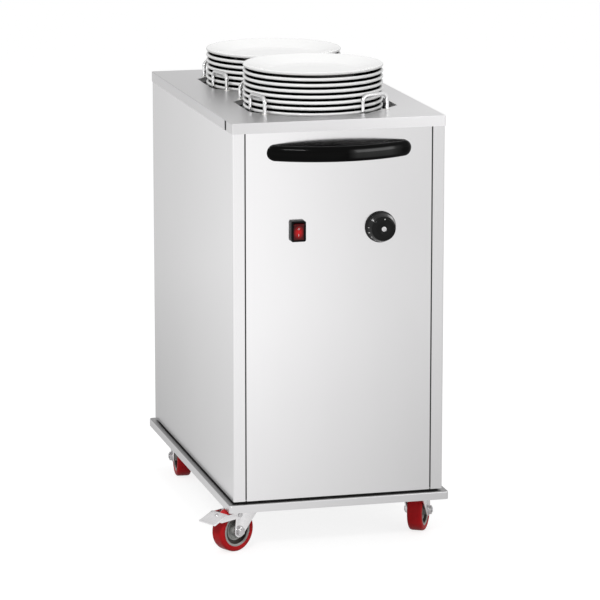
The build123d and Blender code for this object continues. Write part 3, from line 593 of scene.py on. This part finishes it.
finishes = {
    # painted light and shade: one steel is a lighter tone on the front sheet and a darker one on the top than
    # on the sides; the side sheet is lighter at the front and darker towards the rear
    "side_sheet": brushedSheet("side_sheet", "Z", 0.80, 0.20, (("Y", -0.363, 0.397, 1.06, 0.93),)),
    "front_sheet": brushedSheet("front_sheet", "Z", 0.87, 0.15),
    # painted light and shade: the top is darker to the left and lighter to the right, lighter towards the
    # front, and a little darker on its apron below the top
    "top_sheet": brushedSheet(
        "top_sheet", "Y", 0.74, 0.34,
        (("X", -0.22, 0.22, 0.92, 1.1), ("Z", 0.8975, 0.899, 0.97, 1.0), ("Y", -0.3, 0.0, 1.1, 1.0)),
    ),
    # painted shade: the tray's top face, above 108.8 mm, is made much darker where the gap under the panels
    # is in shade
    "tray_sheet": brushedSheet("tray_sheet", "X", 0.78, 0.30, (("Z", 0.1075, 0.1088, 1.0, 0.35),)),
    "inner_sheet": brushedSheet("inner_sheet", "Z", 0.55, 0.42),
    # painted shade: a near black for the plinth under the panels and the corner posts behind the panel
    # joints, standing in for the shade in these gaps
    "gap_shade_black": mouldedPlastic("gap_shade_black", (0.02, 0.02, 0.021), 0.6, 700, 0.0001, 0.05),
    "turned_steel": platedSteel("turned_steel", 0.66, 0.26, 900),
    "zinc": platedSteel("zinc", 0.97, 0.26, 260),
    "spring_wire": platedSteel("spring_wire", 0.34, 0.42, 500),
    "bright_wire": polishedWire("bright_wire"),
    "white_glaze": glazedWhite("white_glaze"),
    "handle_black": grippedPlastic("handle_black"),
    "gloss_black": mouldedPlastic("gloss_black", 0.009, 0.16, 160, 0.00002, 0.012, 0.12),
    "matt_black": mouldedPlastic("matt_black", (0.005, 0.005, 0.0055), 0.36, 1500, 0.0001, 0.015, 0.07),
    "nylon": mouldedPlastic("nylon", (0.72, 0.71, 0.67), 0.45, 600, 0.0001, (0.55, 0.54, 0.5)),
    "hub_brown": mouldedPlastic("hub_brown", (0.05, 0.042, 0.035), 0.5, 700, 0.00008, (0.08, 0.07, 0.06)),
    "hub_grey": mouldedPlastic("hub_grey", (0.48, 0.49, 0.47), 0.36, 700, 0.00008, 0.2),
    "tyre_red": redRubber("tyre_red"),
    "white_ink": printedWhite("white_ink"),
    "heater_tube": heatedTube("heater_tube"),
}
print("finishes mixed:", len(finishes))

view = {
    "azimuth": -14.58, "elevation": 11.98, "distance": 7.575, "lens": 211.0, "sensor": 36, "clip": (0.1, 100),
    "target": (0.0159, 0.017, 0.4477),
}
# a lamp that polished metal sees shows as a highlight in it
lamps = {
    "key": {"place": (-2.4, -3.6, 3.4), "size": (2.2, 2.2), "watts": 46, "seen": False},
    "strip": {"place": (-1.7, -2.9, 2.5), "size": (1.1, 0.1), "watts": 34, "seen": True},
    "fill": {"place": (3.0, -3.4, 1.5), "size": (3.2, 1.4), "watts": 26, "seen": True},
    "top": {"place": (0.3, 0.8, 3.6), "size": (2.0, 2.0), "watts": 36, "seen": False},
}
studio = {
    "lampsAim": (0, 0, 0.5), "floorSize": 40, "floorTone": 0.28, "speckle": (40, 2, 0.5), "speckleTone": 0.97,
    "floorRoughness": 0.9, "floorGlow": 0.80, "skyUp": (0.0, 0.6, 0.16, 0.62),
    # what polished metal sees of the sky: from left to right behind, and in front
    "skyBehind": (-0.5, 0.6, 0.60, 0.86), "skyFront": 0.95, "skyIsFront": (-0.1, 0.5, 1, 0),
    # and of the floor: across the view in front and behind, and darker near the object as a painted shadow
    "across": (0.968, 0.2517), "front": (-0.30, 0.12, 1.07, 0.73), "behind": (-0.31, -0.10, 0.93, 0.65),
    "isFront": (-0.3, 0.3, 1, 0), "near": (0.5, 2.6, 0.76, 1),
}


def aimed(thing, way):
    # turns a camera or lamp to look along the way
    thing.rotation_mode = "QUATERNION"
    thing.rotation_quaternion = way.to_track_quat("-Z", "Y")


def setCamera():
    turn, rise = math.radians(view["azimuth"]), math.radians(view["elevation"])
    flat = math.cos(rise)
    back = Vector((math.sin(turn) * flat, -math.cos(turn) * flat, math.sin(rise)))
    bpy.ops.object.camera_add(location=Vector(view["target"]) + back * view["distance"])
    camera = bpy.context.object
    camera.name = "studio_camera"
    aimed(camera, -back)
    camera.data.lens = view["lens"]
    camera.data.sensor_width = view["sensor"]
    camera.data.clip_start, camera.data.clip_end = view["clip"]
    bpy.context.scene.camera = camera


def setLamps():
    for name, lamp in lamps.items():
        bpy.ops.object.light_add(type="AREA", location=lamp["place"])
        made = bpy.context.object
        made.name = name + "_lamp"
        made.data.shape = "RECTANGLE"
        made.data.size, made.data.size_y = lamp["size"]
        made.data.energy = lamp["watts"]
        made.visible_glossy = lamp["seen"]
        aimed(made, Vector(studio["lampsAim"]) - made.location)


def raySorts(recipe):
    # whether light is on its way to the camera, or to a mirror or glass
    names = ("Is Camera Ray", "Is Glossy Ray", "Is Transmission Ray")
    eye, mirror, glass = (recipe.node("ShaderNodeLightPath", {}, {}, name) for name in names)
    return eye, eye.calc("MAXIMUM", mirror, glass)


def setWorld():
    world = bpy.data.worlds.new("studio_world")
    world.use_nodes = True
    bpy.context.scene.world = world
    recipe = Recipe(world.node_tree)
    eye, mirror = raySorts(recipe)
    way = recipe.node("ShaderNodeTexCoord", {}, {}, "Generated")
    behind = recipe.spread(recipe.axis(way, "X"), *studio["skyBehind"])
    front = recipe.spread(recipe.axis(way, "Y"), *studio["skyIsFront"])
    mirrored = front * studio["skyFront"] + (1 - front) * behind
    ambient = recipe.spread(recipe.axis(way, "Z"), *studio["skyUp"])
    light = mirror * mirrored + (1 - mirror) * ambient
    strength = eye + (1 - eye) * light
    backdrop = recipe.node("ShaderNodeBackground", {}, {"Color": grey(1.0), "Strength": strength})
    recipe.node("ShaderNodeOutputWorld", {}, {"Surface": backdrop})


def setFloor():
    floor = started("studio_floor", bpy.ops.mesh.primitive_plane_add, size=studio["floorSize"])
    made, recipe = finishNamed("studio_floor")
    eye, mirror = raySorts(recipe)
    here = recipe.place()
    along = recipe.axis(here, "Y")
    crossX, crossY = studio["across"]
    across = recipe.axis(here, "X") * crossX + along * crossY
    front = recipe.spread(across, *studio["front"])
    behind = recipe.spread(across, *studio["behind"])
    isFront = recipe.spread(along, *studio["isFront"])
    near = recipe.spread(abs(along), *studio["near"])
    mirrored = (isFront * front + (1 - isFront) * behind) * near
    tone = studio["floorTone"]
    ground = recipe.blend(recipe.noise(studio["speckle"]), tone, tone * studio["speckleTone"])
    glow = eye * studio["floorGlow"] + (1 - eye) * mirror * mirrored
    recipe.surface(
        Base_Color=recipe.blend(mirror, ground, 0.0),
        Roughness=studio["floorRoughness"],
        Emission_Color=recipe.node("ShaderNodeCombineColor", {}, {0: glow, 1: glow, 2: glow}),
        Emission_Strength=1.0,
    )
    floor.data.materials.append(made)


bpy.context.scene.view_settings.view_transform = "Standard"
setCamera()
setLamps()
setWorld()
setFloor()
print("camera, lamps and floor set")

# sheet metal and inner parts keep their CAD shape
finishOfNode = {
    # the plinth and the corner posts are near black, painted shade in the gaps
    "base_tray": "tray_sheet", "plinth": "gap_shade_black", "deck": "inner_sheet",
    "left_side_panel": "side_sheet", "right_side_panel": "side_sheet", "corner_posts": "gap_shade_black",
    "front_panel": "front_sheet", "rear_panel": "front_sheet", "rear_screws": "turned_steel",
    "top_panel": "top_sheet", "guide_bushes": "nylon", "heater_clips": "turned_steel",
    "push_handle": "handle_black", "handle_screws": "turned_steel", "thermostat": "matt_black",
    "thermostat_knob": "gloss_black", "knob_screw": "turned_steel", "switch_housing": "matt_black",
    "switch_rocker": "matt_black", "control_box": "inner_sheet", "cable_gland": "matt_black",
    "gland_nut": "matt_black", "caster_plates": "zinc", "caster_bolts": "turned_steel",
}
for well in wells:
    finishOfNode.update({
        well + "_guide_rails": "inner_sheet", well + "_carrier": "inner_sheet", well + "_glides": "nylon",
        well + "_spring_seat": "inner_sheet", well + "_heater": "heater_tube",
        well + "_lift_spring": "spring_wire", well + "_wire_guides": "bright_wire",
        well + "_plates": "white_glaze",
    })
for corner in cornerNames:
    finishOfNode.update({
        corner + "_fork": "zinc", corner + "_hub": "hub_grey", corner + "_tyre": "tyre_red",
        corner + "_axle": "turned_steel", corner + "_brake_pedal": "zinc",
        corner + "_brake_pins": "turned_steel",
    })
for node, piece in nodes.items():
    piece.data.materials.clear()
    piece.data.materials.append(finishes[finishOfNode[node]])
print("CAD pieces finished")

plate = {
    "sides": 96, "count": {"front": 16, "rear": 15}, "pitch": 12.05 * mm, "turn": 37,
    # radius and height in mm: the underside from the middle outwards, then the top back in
    "rings": [
        (1, 5), (40, 5), (76, 5), (78.4, 4.6), (79.6, 1.4), (80.6, 0.3), (82, 0), (84.6, 0), (86, 0.6),
        (87, 2.6), (88.6, 5.6), (91, 6.9), (110, 11.2), (130, 15.8), (140.5, 18.4), (143.6, 19.3),
        (145.3, 20.6), (146, 22.4), (145.6, 24.2), (144.3, 25.3), (142.4, 25.5), (139, 24.7),
        (120, 19.9), (104, 15.6), (97, 13.9), (93, 12.9), (89, 12.2), (84, 12), (40, 12), (1, 12),
    ],
}


def makePlates():
    # the top and bottom plates are seen from outside, so they are white all over; the others get the glaze
    # with painted shade inside their rims
    pattern = lathed("plate", plate["rings"], plate["sides"], angle=50)
    for well in wells:
        node = well + "_plates"
        low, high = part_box(node)
        middle = (low + high) / 2
        count = plate["count"][well]
        stacked = well + "_stacked_glaze"
        finishes[stacked] = glazedWhite(stacked, (middle.x, middle.y, 0))
        for step in range(count):
            lift = Matrix.Translation((middle.x, middle.y, low.z + step * plate["pitch"]))
            one = another(pattern, f"{well}_plate_{step + 1:02d}", lift @ turnBy(plate["turn"] * step, "Z"))
            fitted(one, well + "_stack", "white_glaze" if step in (0, count - 1) else stacked, node)
    thrownAway(pattern)
    print("plates stacked:", sum(plate["count"].values()))


guide = {
    "wire": 4 * mm, "sides": 20, "bend": 13 * mm, "bendSteps": 8, "foot": 114.2 * mm, "top": 934 * mm,
    # the two legs of each hoop, about the middle of the well
    "angles": (39.5, 140.5, 219.5, 320.5), "pivotRadius": 168.02 * mm, "swingRadius": 150.75 * mm,
    "spread": 22.7,
}


def bentWire(name, first, last):
    # one hoop: up from the first foot, over, and down to the last
    foot, bend = guide["foot"], guide["bend"]
    rise = guide["top"] - bend
    across = (last - first).normalized()
    turns = {
        "steps": guide["bendSteps"], "angle": math.radians(-90), "axis": Vector((0, 0, 1)).cross(across),
    }
    piece = started(
        name, bpy.ops.mesh.primitive_circle_add, vertices=guide["sides"], radius=guide["wire"],
        fill_type="NGON", location=(first.x, first.y, foot),
    )
    editing(piece)
    bpy.ops.mesh.select_mode(type="FACE")
    bpy.ops.mesh.extrude_region_move(TRANSFORM_OT_translate={"value": (0, 0, rise - foot)})
    bpy.ops.mesh.spin(center=Vector((first.x, first.y, rise)) + across * bend, **turns)
    flat = (last - first).length - 2 * bend
    bpy.ops.mesh.extrude_region_move(TRANSFORM_OT_translate={"value": across * flat})
    bpy.ops.mesh.spin(center=Vector((last.x, last.y, rise)) - across * bend, **turns)
    bpy.ops.mesh.extrude_region_move(TRANSFORM_OT_translate={"value": (0, 0, foot - rise)})
    bpy.ops.mesh.select_all(action="SELECT")
    bpy.ops.mesh.remove_doubles(threshold=weld)
    return settle(piece, angle=50)


def makeGuides():
    for well in wells:
        centre = Vector(joints[well + "_stack_lift_off"]["pos_m"])
        for count, angle in enumerate(guide["angles"]):
            pivot = onCircle(centre, guide["pivotRadius"], angle)
            swung = onCircle(centre, guide["swingRadius"], angle - guide["spread"])
            hoop = bentWire(f"{well}_wire_{count + 1}", pivot, swung)
            fitted(hoop, "cabinet", "bright_wire", well + "_wire_guides")
    print("wire guides bent")


coil = {
    "radius": 52 * mm, "wire": 3 * mm, "sides": 12, "turns": 18, "steps": 40, "low": 119.4 * mm,
    "high": 778.55 * mm,
}


def makeSprings():
    pitch = (coil["high"] - coil["low"] - 2 * coil["wire"]) / coil["turns"]
    for well in wells:
        centre = Vector(joints[well + "_stack_lift_off"]["pos_m"])
        piece = started(
            well + "_coil", bpy.ops.mesh.primitive_circle_add, vertices=coil["sides"], radius=coil["wire"],
            fill_type="NGON", rotation=(math.radians(90), 0, 0),
            location=(coil["radius"], 0, coil["low"] + coil["wire"]),
        )
        modify(
            piece, "SCREW", axis="Z", angle=math.tau, screw_offset=pitch, iterations=coil["turns"],
            steps=coil["steps"], render_steps=coil["steps"], use_merge_vertices=True, merge_threshold=weld,
        )
        moved(settle(piece, angle=50), Matrix.Translation((centre.x, centre.y, 0)))
        dressed(piece, "spring_wire", well + "_lift_spring")
        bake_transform(piece)
    print("lift springs wound")


caster = {
    "axle": 45 * mm, "trail": 40 * mm, "softEdge": 0.5 * mm, "plateEdge": 0.6 * mm,
    "wheelSides": 80, "boltSides": 28, "washerSides": 40, "lipSides": 24,
    # radius and place along its own axis, in mm; a bolt's or pin's starts from the wheel's middle
    "tyre": [
        (34.05, -14.7), (34.7, -15.6), (36.4, -16), (37.3, -15.7), (37.7, -15.0), (38.1, -15.7), (39.2, -16),
        (40.6, -15.9), (42.6, -15.0), (44.1, -13.4), (44.8, -11.2), (45, -8.5), (45, 0), (45, 8.5),
        (44.8, 11.2), (44.1, 13.4), (42.6, 15.0), (40.6, 15.9), (39.2, 16), (38.1, 15.7), (37.7, 15.0),
        (37.3, 15.7), (36.4, 16), (34.7, 15.6), (34.05, 14.7),
    ],
    "hub": [
        (6.06, -18.5), (10.1, -18.5), (10.8, -17.9), (11.1, -4.2), (11.8, -3.2), (17.2, -3.2), (17.9, -4),
        (18.1, -8.2), (18.6, -9), (19.5, -9), (19.7, -8.3), (20.3, -8.3), (20.5, -9), (21.4, -9),
        (21.9, -8.2), (22.1, -4), (22.8, -3.2), (28.2, -3.2), (28.9, -4), (29.1, -13.6), (29.8, -14.9),
        (31.2, -15), (31.4, -14.4), (31.9, -14.4), (32.1, -15), (33.3, -14.9), (34, -14.2),
        (34, 14.2), (33.3, 14.9), (32.1, 15), (31.9, 14.4), (31.4, 14.4), (31.2, 15), (29.8, 14.9),
        (29.1, 13.6), (28.9, 4), (28.2, 3.2), (22.8, 3.2), (22.1, 4), (21.9, 8.2), (21.4, 9), (20.5, 9),
        (20.3, 8.3), (19.7, 8.3), (19.5, 9), (18.6, 9), (18.1, 8.2), (17.9, 4), (17.2, 3.2), (11.8, 3.2),
        (11.1, 4.2), (10.8, 17.9), (10.1, 18.5), (6.06, 18.5),
    ],
    # a dark brown ring set into the hub's recess, darker than the hub around it
    "darkRing": [
        (22.3, -6.2), (22.9, -6.8), (27.6, -6.8), (28.2, -7.4), (28.3, -13.2), (29, -13.2),
        (29, 13.2), (28.3, 13.2), (28.2, 7.4), (27.6, 6.8), (22.9, 6.8), (22.3, 6.2),
    ],
    "thread": [
        (5.9, -23), (5.9, 28), (6, 28.3), (5.5, 28.6), (6, 28.9), (5.5, 29.2), (6, 29.5), (5.5, 29.8),
        (5.2, 30.2), (0.6, 30.4),
    ],
    "washer": [(6.1, 22), (11.2, 22), (11.5, 22.3), (11.5, 23), (11.2, 23.3), (6.1, 23.3)],
    "nut": {"radius": 10 * mm, "low": 23.3 * mm, "high": 28 * mm},
    "pin": [(3, 19.1), (3, 24.9), (5, 24.9), (5, 25.5), (4.5, 26.1), (3.1, 26.5), (0.5, 26.6)],
    "rivet": [(4.2, 0), (4.2, 0.5), (3.6, 1.4), (2.4, 1.9), (0.5, 2.1)],
    "lip": [(1.68, -24.4), (2.4, -23.7), (2.4, 23.7), (1.68, 24.4)],
    # out from the kingpin and up from the floor
    "pinPlace": (40 * mm, 80 * mm), "rivetPlace": (84 * mm, 83.2 * mm), "lipPlace": (109.6 * mm, 71.4 * mm),
    "pedalSlope": 22.62,
}
# shares of the radius, and how nearly upright a face's or edge's direction is when it is picked
hexShape = {"inset": 0.12, "rise": 0.05, "bevel": 0.04, "upright": 0.9}


def atCorner(corner):
    # drawn with the kingpin on the Z axis and the wheel trailing along +X, then put in its corner
    kingpin, axle = (Vector(joints[corner + name]["pos_m"]) for name in ("_swivel_turn", "_wheel_roll"))
    trail = axle - kingpin
    turn = Matrix.Rotation(math.atan2(trail.y, trail.x), 4, "Z")
    return Matrix.Translation((kingpin.x, kingpin.y, 0)) @ turn


def outAndUp(place):
    out, up = place
    return Matrix.Translation((out, 0, up))


def onAxle(side=1):
    return outAndUp((caster["trail"], caster["axle"])) @ turnBy(90 * side, "X")


def hexHead(name, radius, low, high):
    # a six-sided head or nut, its top face drawn in and raised, its upright edges broken
    cylinder = bpy.ops.mesh.primitive_cylinder_add
    middle = (0, 0, (low + high) / 2)
    piece = started(name, cylinder, vertices=6, radius=radius, depth=high - low, location=middle)
    editing(piece)
    pick(piece, "FACE", lambda way: way.z > hexShape["upright"])
    bpy.ops.mesh.inset(thickness=radius * hexShape["inset"], depth=0)
    bpy.ops.transform.translate(value=(0, 0, radius * hexShape["rise"]))
    pick(piece, "EDGE", lambda way: abs(way.z) > hexShape["upright"])
    bpy.ops.mesh.bevel(offset=radius * hexShape["bevel"], segments=2)
    return settle(piece, angle=30)


def fitBrake(corner, spot, pin, rivet, lip):
    brake = corner + "_brake"
    hole = spot @ outAndUp(caster["pinPlace"])
    pins = [another(pin, "bit", hole @ turnBy(90 * side, "X")) for side in (1, -1)]
    fitted(joined(pins, corner + "_pedal_pins"), corner + "_swivel", "turned_steel", corner + "_brake_pins")
    pedal = softened(corner + "_brake_pedal", caster["softEdge"], corner + "_pressed_pedal")
    fitted(pedal, brake, "zinc", corner + "_brake_pedal")
    place = spot @ outAndUp(caster["rivetPlace"]) @ turnBy(caster["pedalSlope"], "Y")
    fitted(another(rivet, corner + "_pedal_rivet_1", place), brake, "turned_steel")
    place = spot @ outAndUp(caster["lipPlace"]) @ turnBy(90, "X")
    fitted(another(lip, corner + "_pedal_lip", place), brake, "zinc")


def makeCasters():
    tyre = lathed("tyre", caster["tyre"], caster["wheelSides"], angle=50, ring=True)
    hub = lathed("hub", caster["hub"], caster["wheelSides"], angle=35, ring=True)
    darkRing = lathed("darkRing", caster["darkRing"], caster["wheelSides"], angle=35, ring=True)
    thread = lathed("thread", caster["thread"], caster["boltSides"], angle=30)
    washer = lathed("washer", caster["washer"], caster["washerSides"], angle=30, ring=True)
    nut = hexHead("nut", **caster["nut"])
    pin = lathed("pin", caster["pin"], caster["boltSides"], angle=40)
    rivet = lathed("rivet", caster["rivet"], caster["boltSides"], angle=50)
    lip = lathed("lip", caster["lip"], caster["lipSides"], angle=40)
    for corner in cornerNames:
        spot = atCorner(corner)
        wheel, swivel = corner + "_wheel", corner + "_swivel"
        fitted(another(tyre, corner + "_tread", spot @ onAxle()), wheel, "tyre_red", corner + "_tyre")
        fitted(another(hub, corner + "_wheel_hub", spot @ onAxle()), wheel, "hub_grey", corner + "_hub")
        fitted(another(darkRing, corner + "_hub_shield", spot @ onAxle()), wheel, "hub_brown", corner + "_hub")
        bits = [another(bit, "bit", spot @ onAxle(side)) for bit in (thread, washer, nut) for side in (1, -1)]
        fitted(joined(bits, corner + "_axle_bolt"), swivel, "turned_steel", corner + "_axle")
        fork = softened(corner + "_fork", caster["softEdge"], corner + "_pressed_fork")
        fitted(fork, swivel, "zinc", corner + "_fork")
        if corner + "_brake" in frame["bodies"]:
            fitBrake(corner, spot, pin, rivet, lip)
    thrownAway(tyre, hub, darkRing, thread, washer, nut, pin, rivet, lip)
    plates = softened("caster_plates", caster["plateEdge"], "swivel_plates")
    fitted(plates, "cabinet", "zinc", "caster_plates")
    print("casters assembled:", len(cornerNames))


bolt = {
    "radius": 7 * mm, "low": 100 * mm, "high": 104 * mm, "apart": (25 * mm, 37.5 * mm), "sides": 20,
    "shank": [(4, 104), (4, 109)],
}


def makeCasterBolts():
    # a head is made upside down, because its raised face looks at the floor
    top = -bolt["low"] - hexShape["rise"] * bolt["radius"]
    head = moved(hexHead("head", bolt["radius"], -bolt["high"], top), turnBy(180, "X"))
    shank = lathed("shank", bolt["shank"], bolt["sides"], angle=40)
    apartX, apartY = bolt["apart"]
    bits = []
    for corner in cornerNames:
        x, y = joints[corner + "_swivel_turn"]["pos_m"][:2]
        for across in (-1, 1):
            for along in (-1, 1):
                place = Matrix.Translation((x + across * apartX, y + along * apartY, 0))
                bits += [another(head, "bit", place), another(shank, "bit", place)]
    thrownAway(head, shank)
    fitted(joined(bits, "caster_bolt_heads"), "cabinet", "turned_steel", "caster_bolts")
    print("caster bolts in")


knob = {
    "sides": 96, "length": 29 * mm, "base": 32.5 * mm, "flank": 15.0,
    # radius and distance from the back, in mm
    "rings": [
        (3.06, 0), (31.9, 0), (32.5, 0.6), (32.5, 1.6), (32.1, 2.0), (31.7, 2.4), (28.7, 13.6), (25.9, 24.1),
        (25.3, 25.9), (24.2, 27.6), (22.8, 28.6), (21, 29), (7.4, 29), (6.9, 28.8), (6.5, 28.3), (5.5, 27.9),
        (5.5, 27), (3.06, 27), (3.06, 15),
    ],
    "screw": [(0.5, 0), (5.2, 0), (5.45, 0.3), (5.45, 1.3), (4.9, 1.9), (3, 2.2), (0.5, 2.3)],
    "screwSides": 40, "screwSunk": 2 * mm, "slot": (11 * mm, 1.7 * mm, 2.2 * mm), "slotTurn": -38,
    "dot": [(1.25, 0), (1.25, 0.06), (1.1, 0.14), (0.3, 0.16)], "dotSides": 24, "dotOut": 20.2 * mm,
    "dotAngle": 86, "numerals": "123456789", "firstAngle": 176.5, "step": 21.6, "textSize": 8.6 * mm,
    "textAt": 14 * mm, "inkThick": 0.1 * mm,
}


def inked(digit, count, stand):
    # a numeral on the knob's sloping flank, its top towards the panel
    slant = math.radians(knob["flank"])
    out = onCircle((0, 0), 1, knob["firstAngle"] + knob["step"] * count)
    front = Vector((0, 0, 1))
    normal = out * math.cos(slant) + front * math.sin(slant)
    up = out * math.sin(slant) - front * math.cos(slant)
    place = Matrix((up.cross(normal), up, normal)).transposed().to_4x4()
    place.translation = out * (knob["base"] - knob["textAt"] * math.tan(slant)) + front * knob["textAt"]
    bpy.ops.object.select_all(action="DESELECT")
    bpy.ops.object.text_add()
    text = bpy.context.object
    text.data.body = digit
    text.data.size = knob["textSize"]
    text.data.align_x, text.data.align_y = "CENTER", "CENTER"
    text.data.extrude = knob["inkThick"]
    only(text)
    bpy.ops.object.convert(target="MESH")
    return moved(bpy.context.object, stand @ place)


def makeKnob():
    low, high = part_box("thermostat_knob")
    middle = (low + high) / 2
    # the knob's own axis, Z, points out of the front panel
    stand = Matrix.Translation((middle.x, high.y, middle.z)) @ turnBy(90, "X")
    body = lathed("dial_knob", knob["rings"], knob["sides"], angle=40, ring=True)
    fitted(moved(body, stand), "dial", "gloss_black", "thermostat_knob")
    screw = lathed("dial_screw", knob["screw"], knob["screwSides"], angle=40)
    cutSlot(screw, knob["slot"], knob["screw"][-1][1] * mm)
    sunk = Matrix.Translation((0, 0, knob["length"] - knob["screwSunk"]))
    fitted(moved(screw, stand @ sunk @ turnBy(knob["slotTurn"], "Z")), "dial", "turned_steel", "knob_screw")
    dot = lathed("dial_dot", knob["dot"], knob["dotSides"], angle=40)
    place = Matrix.Translation(onCircle((0, 0), knob["dotOut"], knob["dotAngle"], knob["length"]))
    fitted(moved(dot, stand @ place), "dial", "white_ink")
    digits = [inked(digit, count, stand) for count, digit in enumerate(knob["numerals"])]
    fitted(joined(digits, "dial_numerals"), "dial", "white_ink")
    print("knob turned and marked")


rocker = {
    "halfWidth": 10.6 * mm, "tilt": 8, "edge": 0.35 * mm, "sharpFrom": 50, "lampPlace": (0, -8 * mm, 0),
    # out from the pivot and up, in mm: a hollow in each half, round shoulders, then the back
    "outline": [
        (-6.5, 0), (-6.9, 3.5), (-7.6, 7.5), (-8.7, 11.5), (-9.7, 14.6), (-9.9, 16.2), (-9.2, 16.6),
        (0, 16.6), (6, 8.3), (6, -8.3), (0, -16.6), (-9.2, -16.6), (-9.9, -16.2), (-9.7, -14.6),
        (-8.7, -11.5), (-7.6, -7.5), (-6.9, -3.5),
    ],
    "ring": [(1.5, 0), (2.2, 0), (2.2, 0.16), (1.5, 0.16)], "ringSides": 32,
    "bar": (0.8 * mm, 0.2 * mm, 4.6 * mm), "barEdge": 0.08 * mm,
    "markHeight": 6.6 * mm, "markOut": 7.5 * mm, "markLean": 12,
}


def traced(name, points, depth):
    # an outline in the YZ plane, out and up, drawn corner by corner and extruded along X
    piece = started(name, bpy.ops.mesh.primitive_plane_add, size=1 * mm)
    editing(piece)
    bpy.ops.mesh.select_mode(type="VERT")
    bpy.ops.mesh.select_all(action="SELECT")
    bpy.ops.mesh.merge(type="CENTER")
    here = Vector((0, 0, 0))
    for count, (out, up) in enumerate(points):
        there = Vector((-depth / 2, out * mm, up * mm))
        if count == 0:
            bpy.ops.transform.translate(value=there - here)
        else:
            bpy.ops.mesh.extrude_region_move(TRANSFORM_OT_translate={"value": there - here})
        here = there
    bpy.ops.mesh.select_all(action="SELECT")
    bpy.ops.mesh.edge_face_add()
    bpy.ops.mesh.extrude_region_move(TRANSFORM_OT_translate={"value": (depth, 0, 0)})
    return piece


def makeSwitch():
    stand = Matrix.Translation(joints["switch_rock"]["pos_m"]) @ turnBy(rocker["tilt"], "X")
    cap = settle(traced("rocker_cap", rocker["outline"], 2 * rocker["halfWidth"]))
    sharp = math.radians(rocker["sharpFrom"])
    modify(cap, "BEVEL", width=rocker["edge"], segments=2, limit_method="ANGLE", angle_limit=sharp)
    moved(settle(cap), stand)
    finishes["lit_red"] = litRed("lit_red", stand @ Vector(rocker["lampPlace"]))
    fitted(cap, "switch", "lit_red", "switch_rocker")
    out, high, lean = rocker["markOut"], rocker["markHeight"], rocker["markLean"]
    place = Matrix.Translation((0, -out, high)) @ turnBy(90 + lean, "X")
    ring = moved(lathed("mark", rocker["ring"], rocker["ringSides"], angle=30, ring=True), stand @ place)
    place = Matrix.Translation((0, -out, -high)) @ turnBy(-lean, "X")
    bar = started("bar", bpy.ops.mesh.primitive_cube_add, size=1, scale=rocker["bar"])
    modify(bar, "BEVEL", width=rocker["barEdge"], segments=2)
    moved(settle(bar), stand @ place)
    fitted(joined([ring, bar], "rocker_marks"), "switch", "white_ink")
    print("switch built")


handle = {
    "half": 156 * mm, "tall": 32 * mm, "thick": 15 * mm, "reach": 54 * mm, "foot": 152 * mm, "sunk": 4.2 * mm,
    "sides": 48, "steps": 40, "endSteps": 14, "endFrom": 1,
}


def makeHandle():
    # a straight bar with rounded ends along X, bent to a bow and trimmed flat against the panel
    low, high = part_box("push_handle")
    face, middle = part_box("front_panel")[0].y, (low.z + high.z) / 2
    bow = handle["reach"] - handle["thick"] / 2
    rise = bow + handle["sunk"]
    bend = (handle["foot"] ** 2 + rise ** 2) / (2 * rise)
    half = handle["tall"] / 2
    stations = []
    for step in range(handle["endSteps"] + 1):
        around = math.radians(handle["endFrom"] + (90 - handle["endFrom"]) * step / handle["endSteps"])
        x = handle["half"] - half + half * math.cos(around)
        # the bow's outer line is at x where the straight bar is this far along
        reach = bend * math.asin(x / (bend + handle["thick"] / 2))
        stations.append((reach, math.sin(around)))
    straight = stations[-1][0]
    rows = [(-reach, size) for reach, size in stations]
    rows += [(straight * (2 * step / handle["steps"] - 1), 1) for step in range(1, handle["steps"])]
    rows += [(reach, size) for reach, size in reversed(stations)]
    bar = turned("handle_bow", [(half * size, reach) for reach, size in rows], handle["sides"])
    only(bar)
    bar.rotation_euler = (0, math.radians(90), 0)
    bar.scale = (1, handle["thick"] / handle["tall"], 1)
    settle(bar, angle=60)
    total = 2 * rows[-1][0]
    modify(bar, "SIMPLE_DEFORM", deform_method="BEND", deform_axis="Z", angle=total / bend)
    moved(bar, Matrix.Translation((0, face - bow, middle)))
    editing(bar)
    bpy.ops.mesh.bisect(plane_co=(0, face, 0), plane_no=(0, 1, 0), clear_outer=True, use_fill=True)
    settle(bar, angle=60)
    fitted(bar, "cabinet", "handle_black", "push_handle")
    print("handle bent")


screwHead = {
    "rings": [(2, -4), (2, 0), (4, 0), (4.05, 0.35), (3.7, 1.2), (2.8, 1.8), (1.4, 2.15), (0.3, 2.2)],
    "sides": 32, "across": (5 * mm, 0.9 * mm, 2.6 * mm), "radius": 4 * mm, "rows": 4, "turn": 23,
}


def makeRearScrews():
    head = lathed("head", screwHead["rings"], screwHead["sides"], angle=40)
    across, wide, deep = screwHead["across"]
    top = screwHead["rings"][-1][1] * mm
    cutSlot(head, (across, wide, deep), top)
    cutSlot(head, (wide, across, deep), top)
    low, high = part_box("rear_screws")
    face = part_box("rear_panel")[1].y
    radius, last = screwHead["radius"], screwHead["rows"] - 1
    bits = []
    for side in (low.x + radius, high.x - radius):
        for row in range(last + 1):
            height = low.z + radius + (high.z - low.z - 2 * radius) * row / last
            turn = turnBy(-90, "X") @ turnBy(screwHead["turn"] * (row + 1), "Z")
            bits.append(another(head, "bit", Matrix.Translation((side, face, height)) @ turn))
    thrownAway(head)
    fitted(joined(bits, "rear_screw_heads"), "cabinet", "turned_steel", "rear_screws")
    print("rear screws in")


makePlates()
makeGuides()
makeSprings()
makeCasters()
makeCasterBolts()
makeHandle()
makeKnob()
makeSwitch()
makeRearScrews()
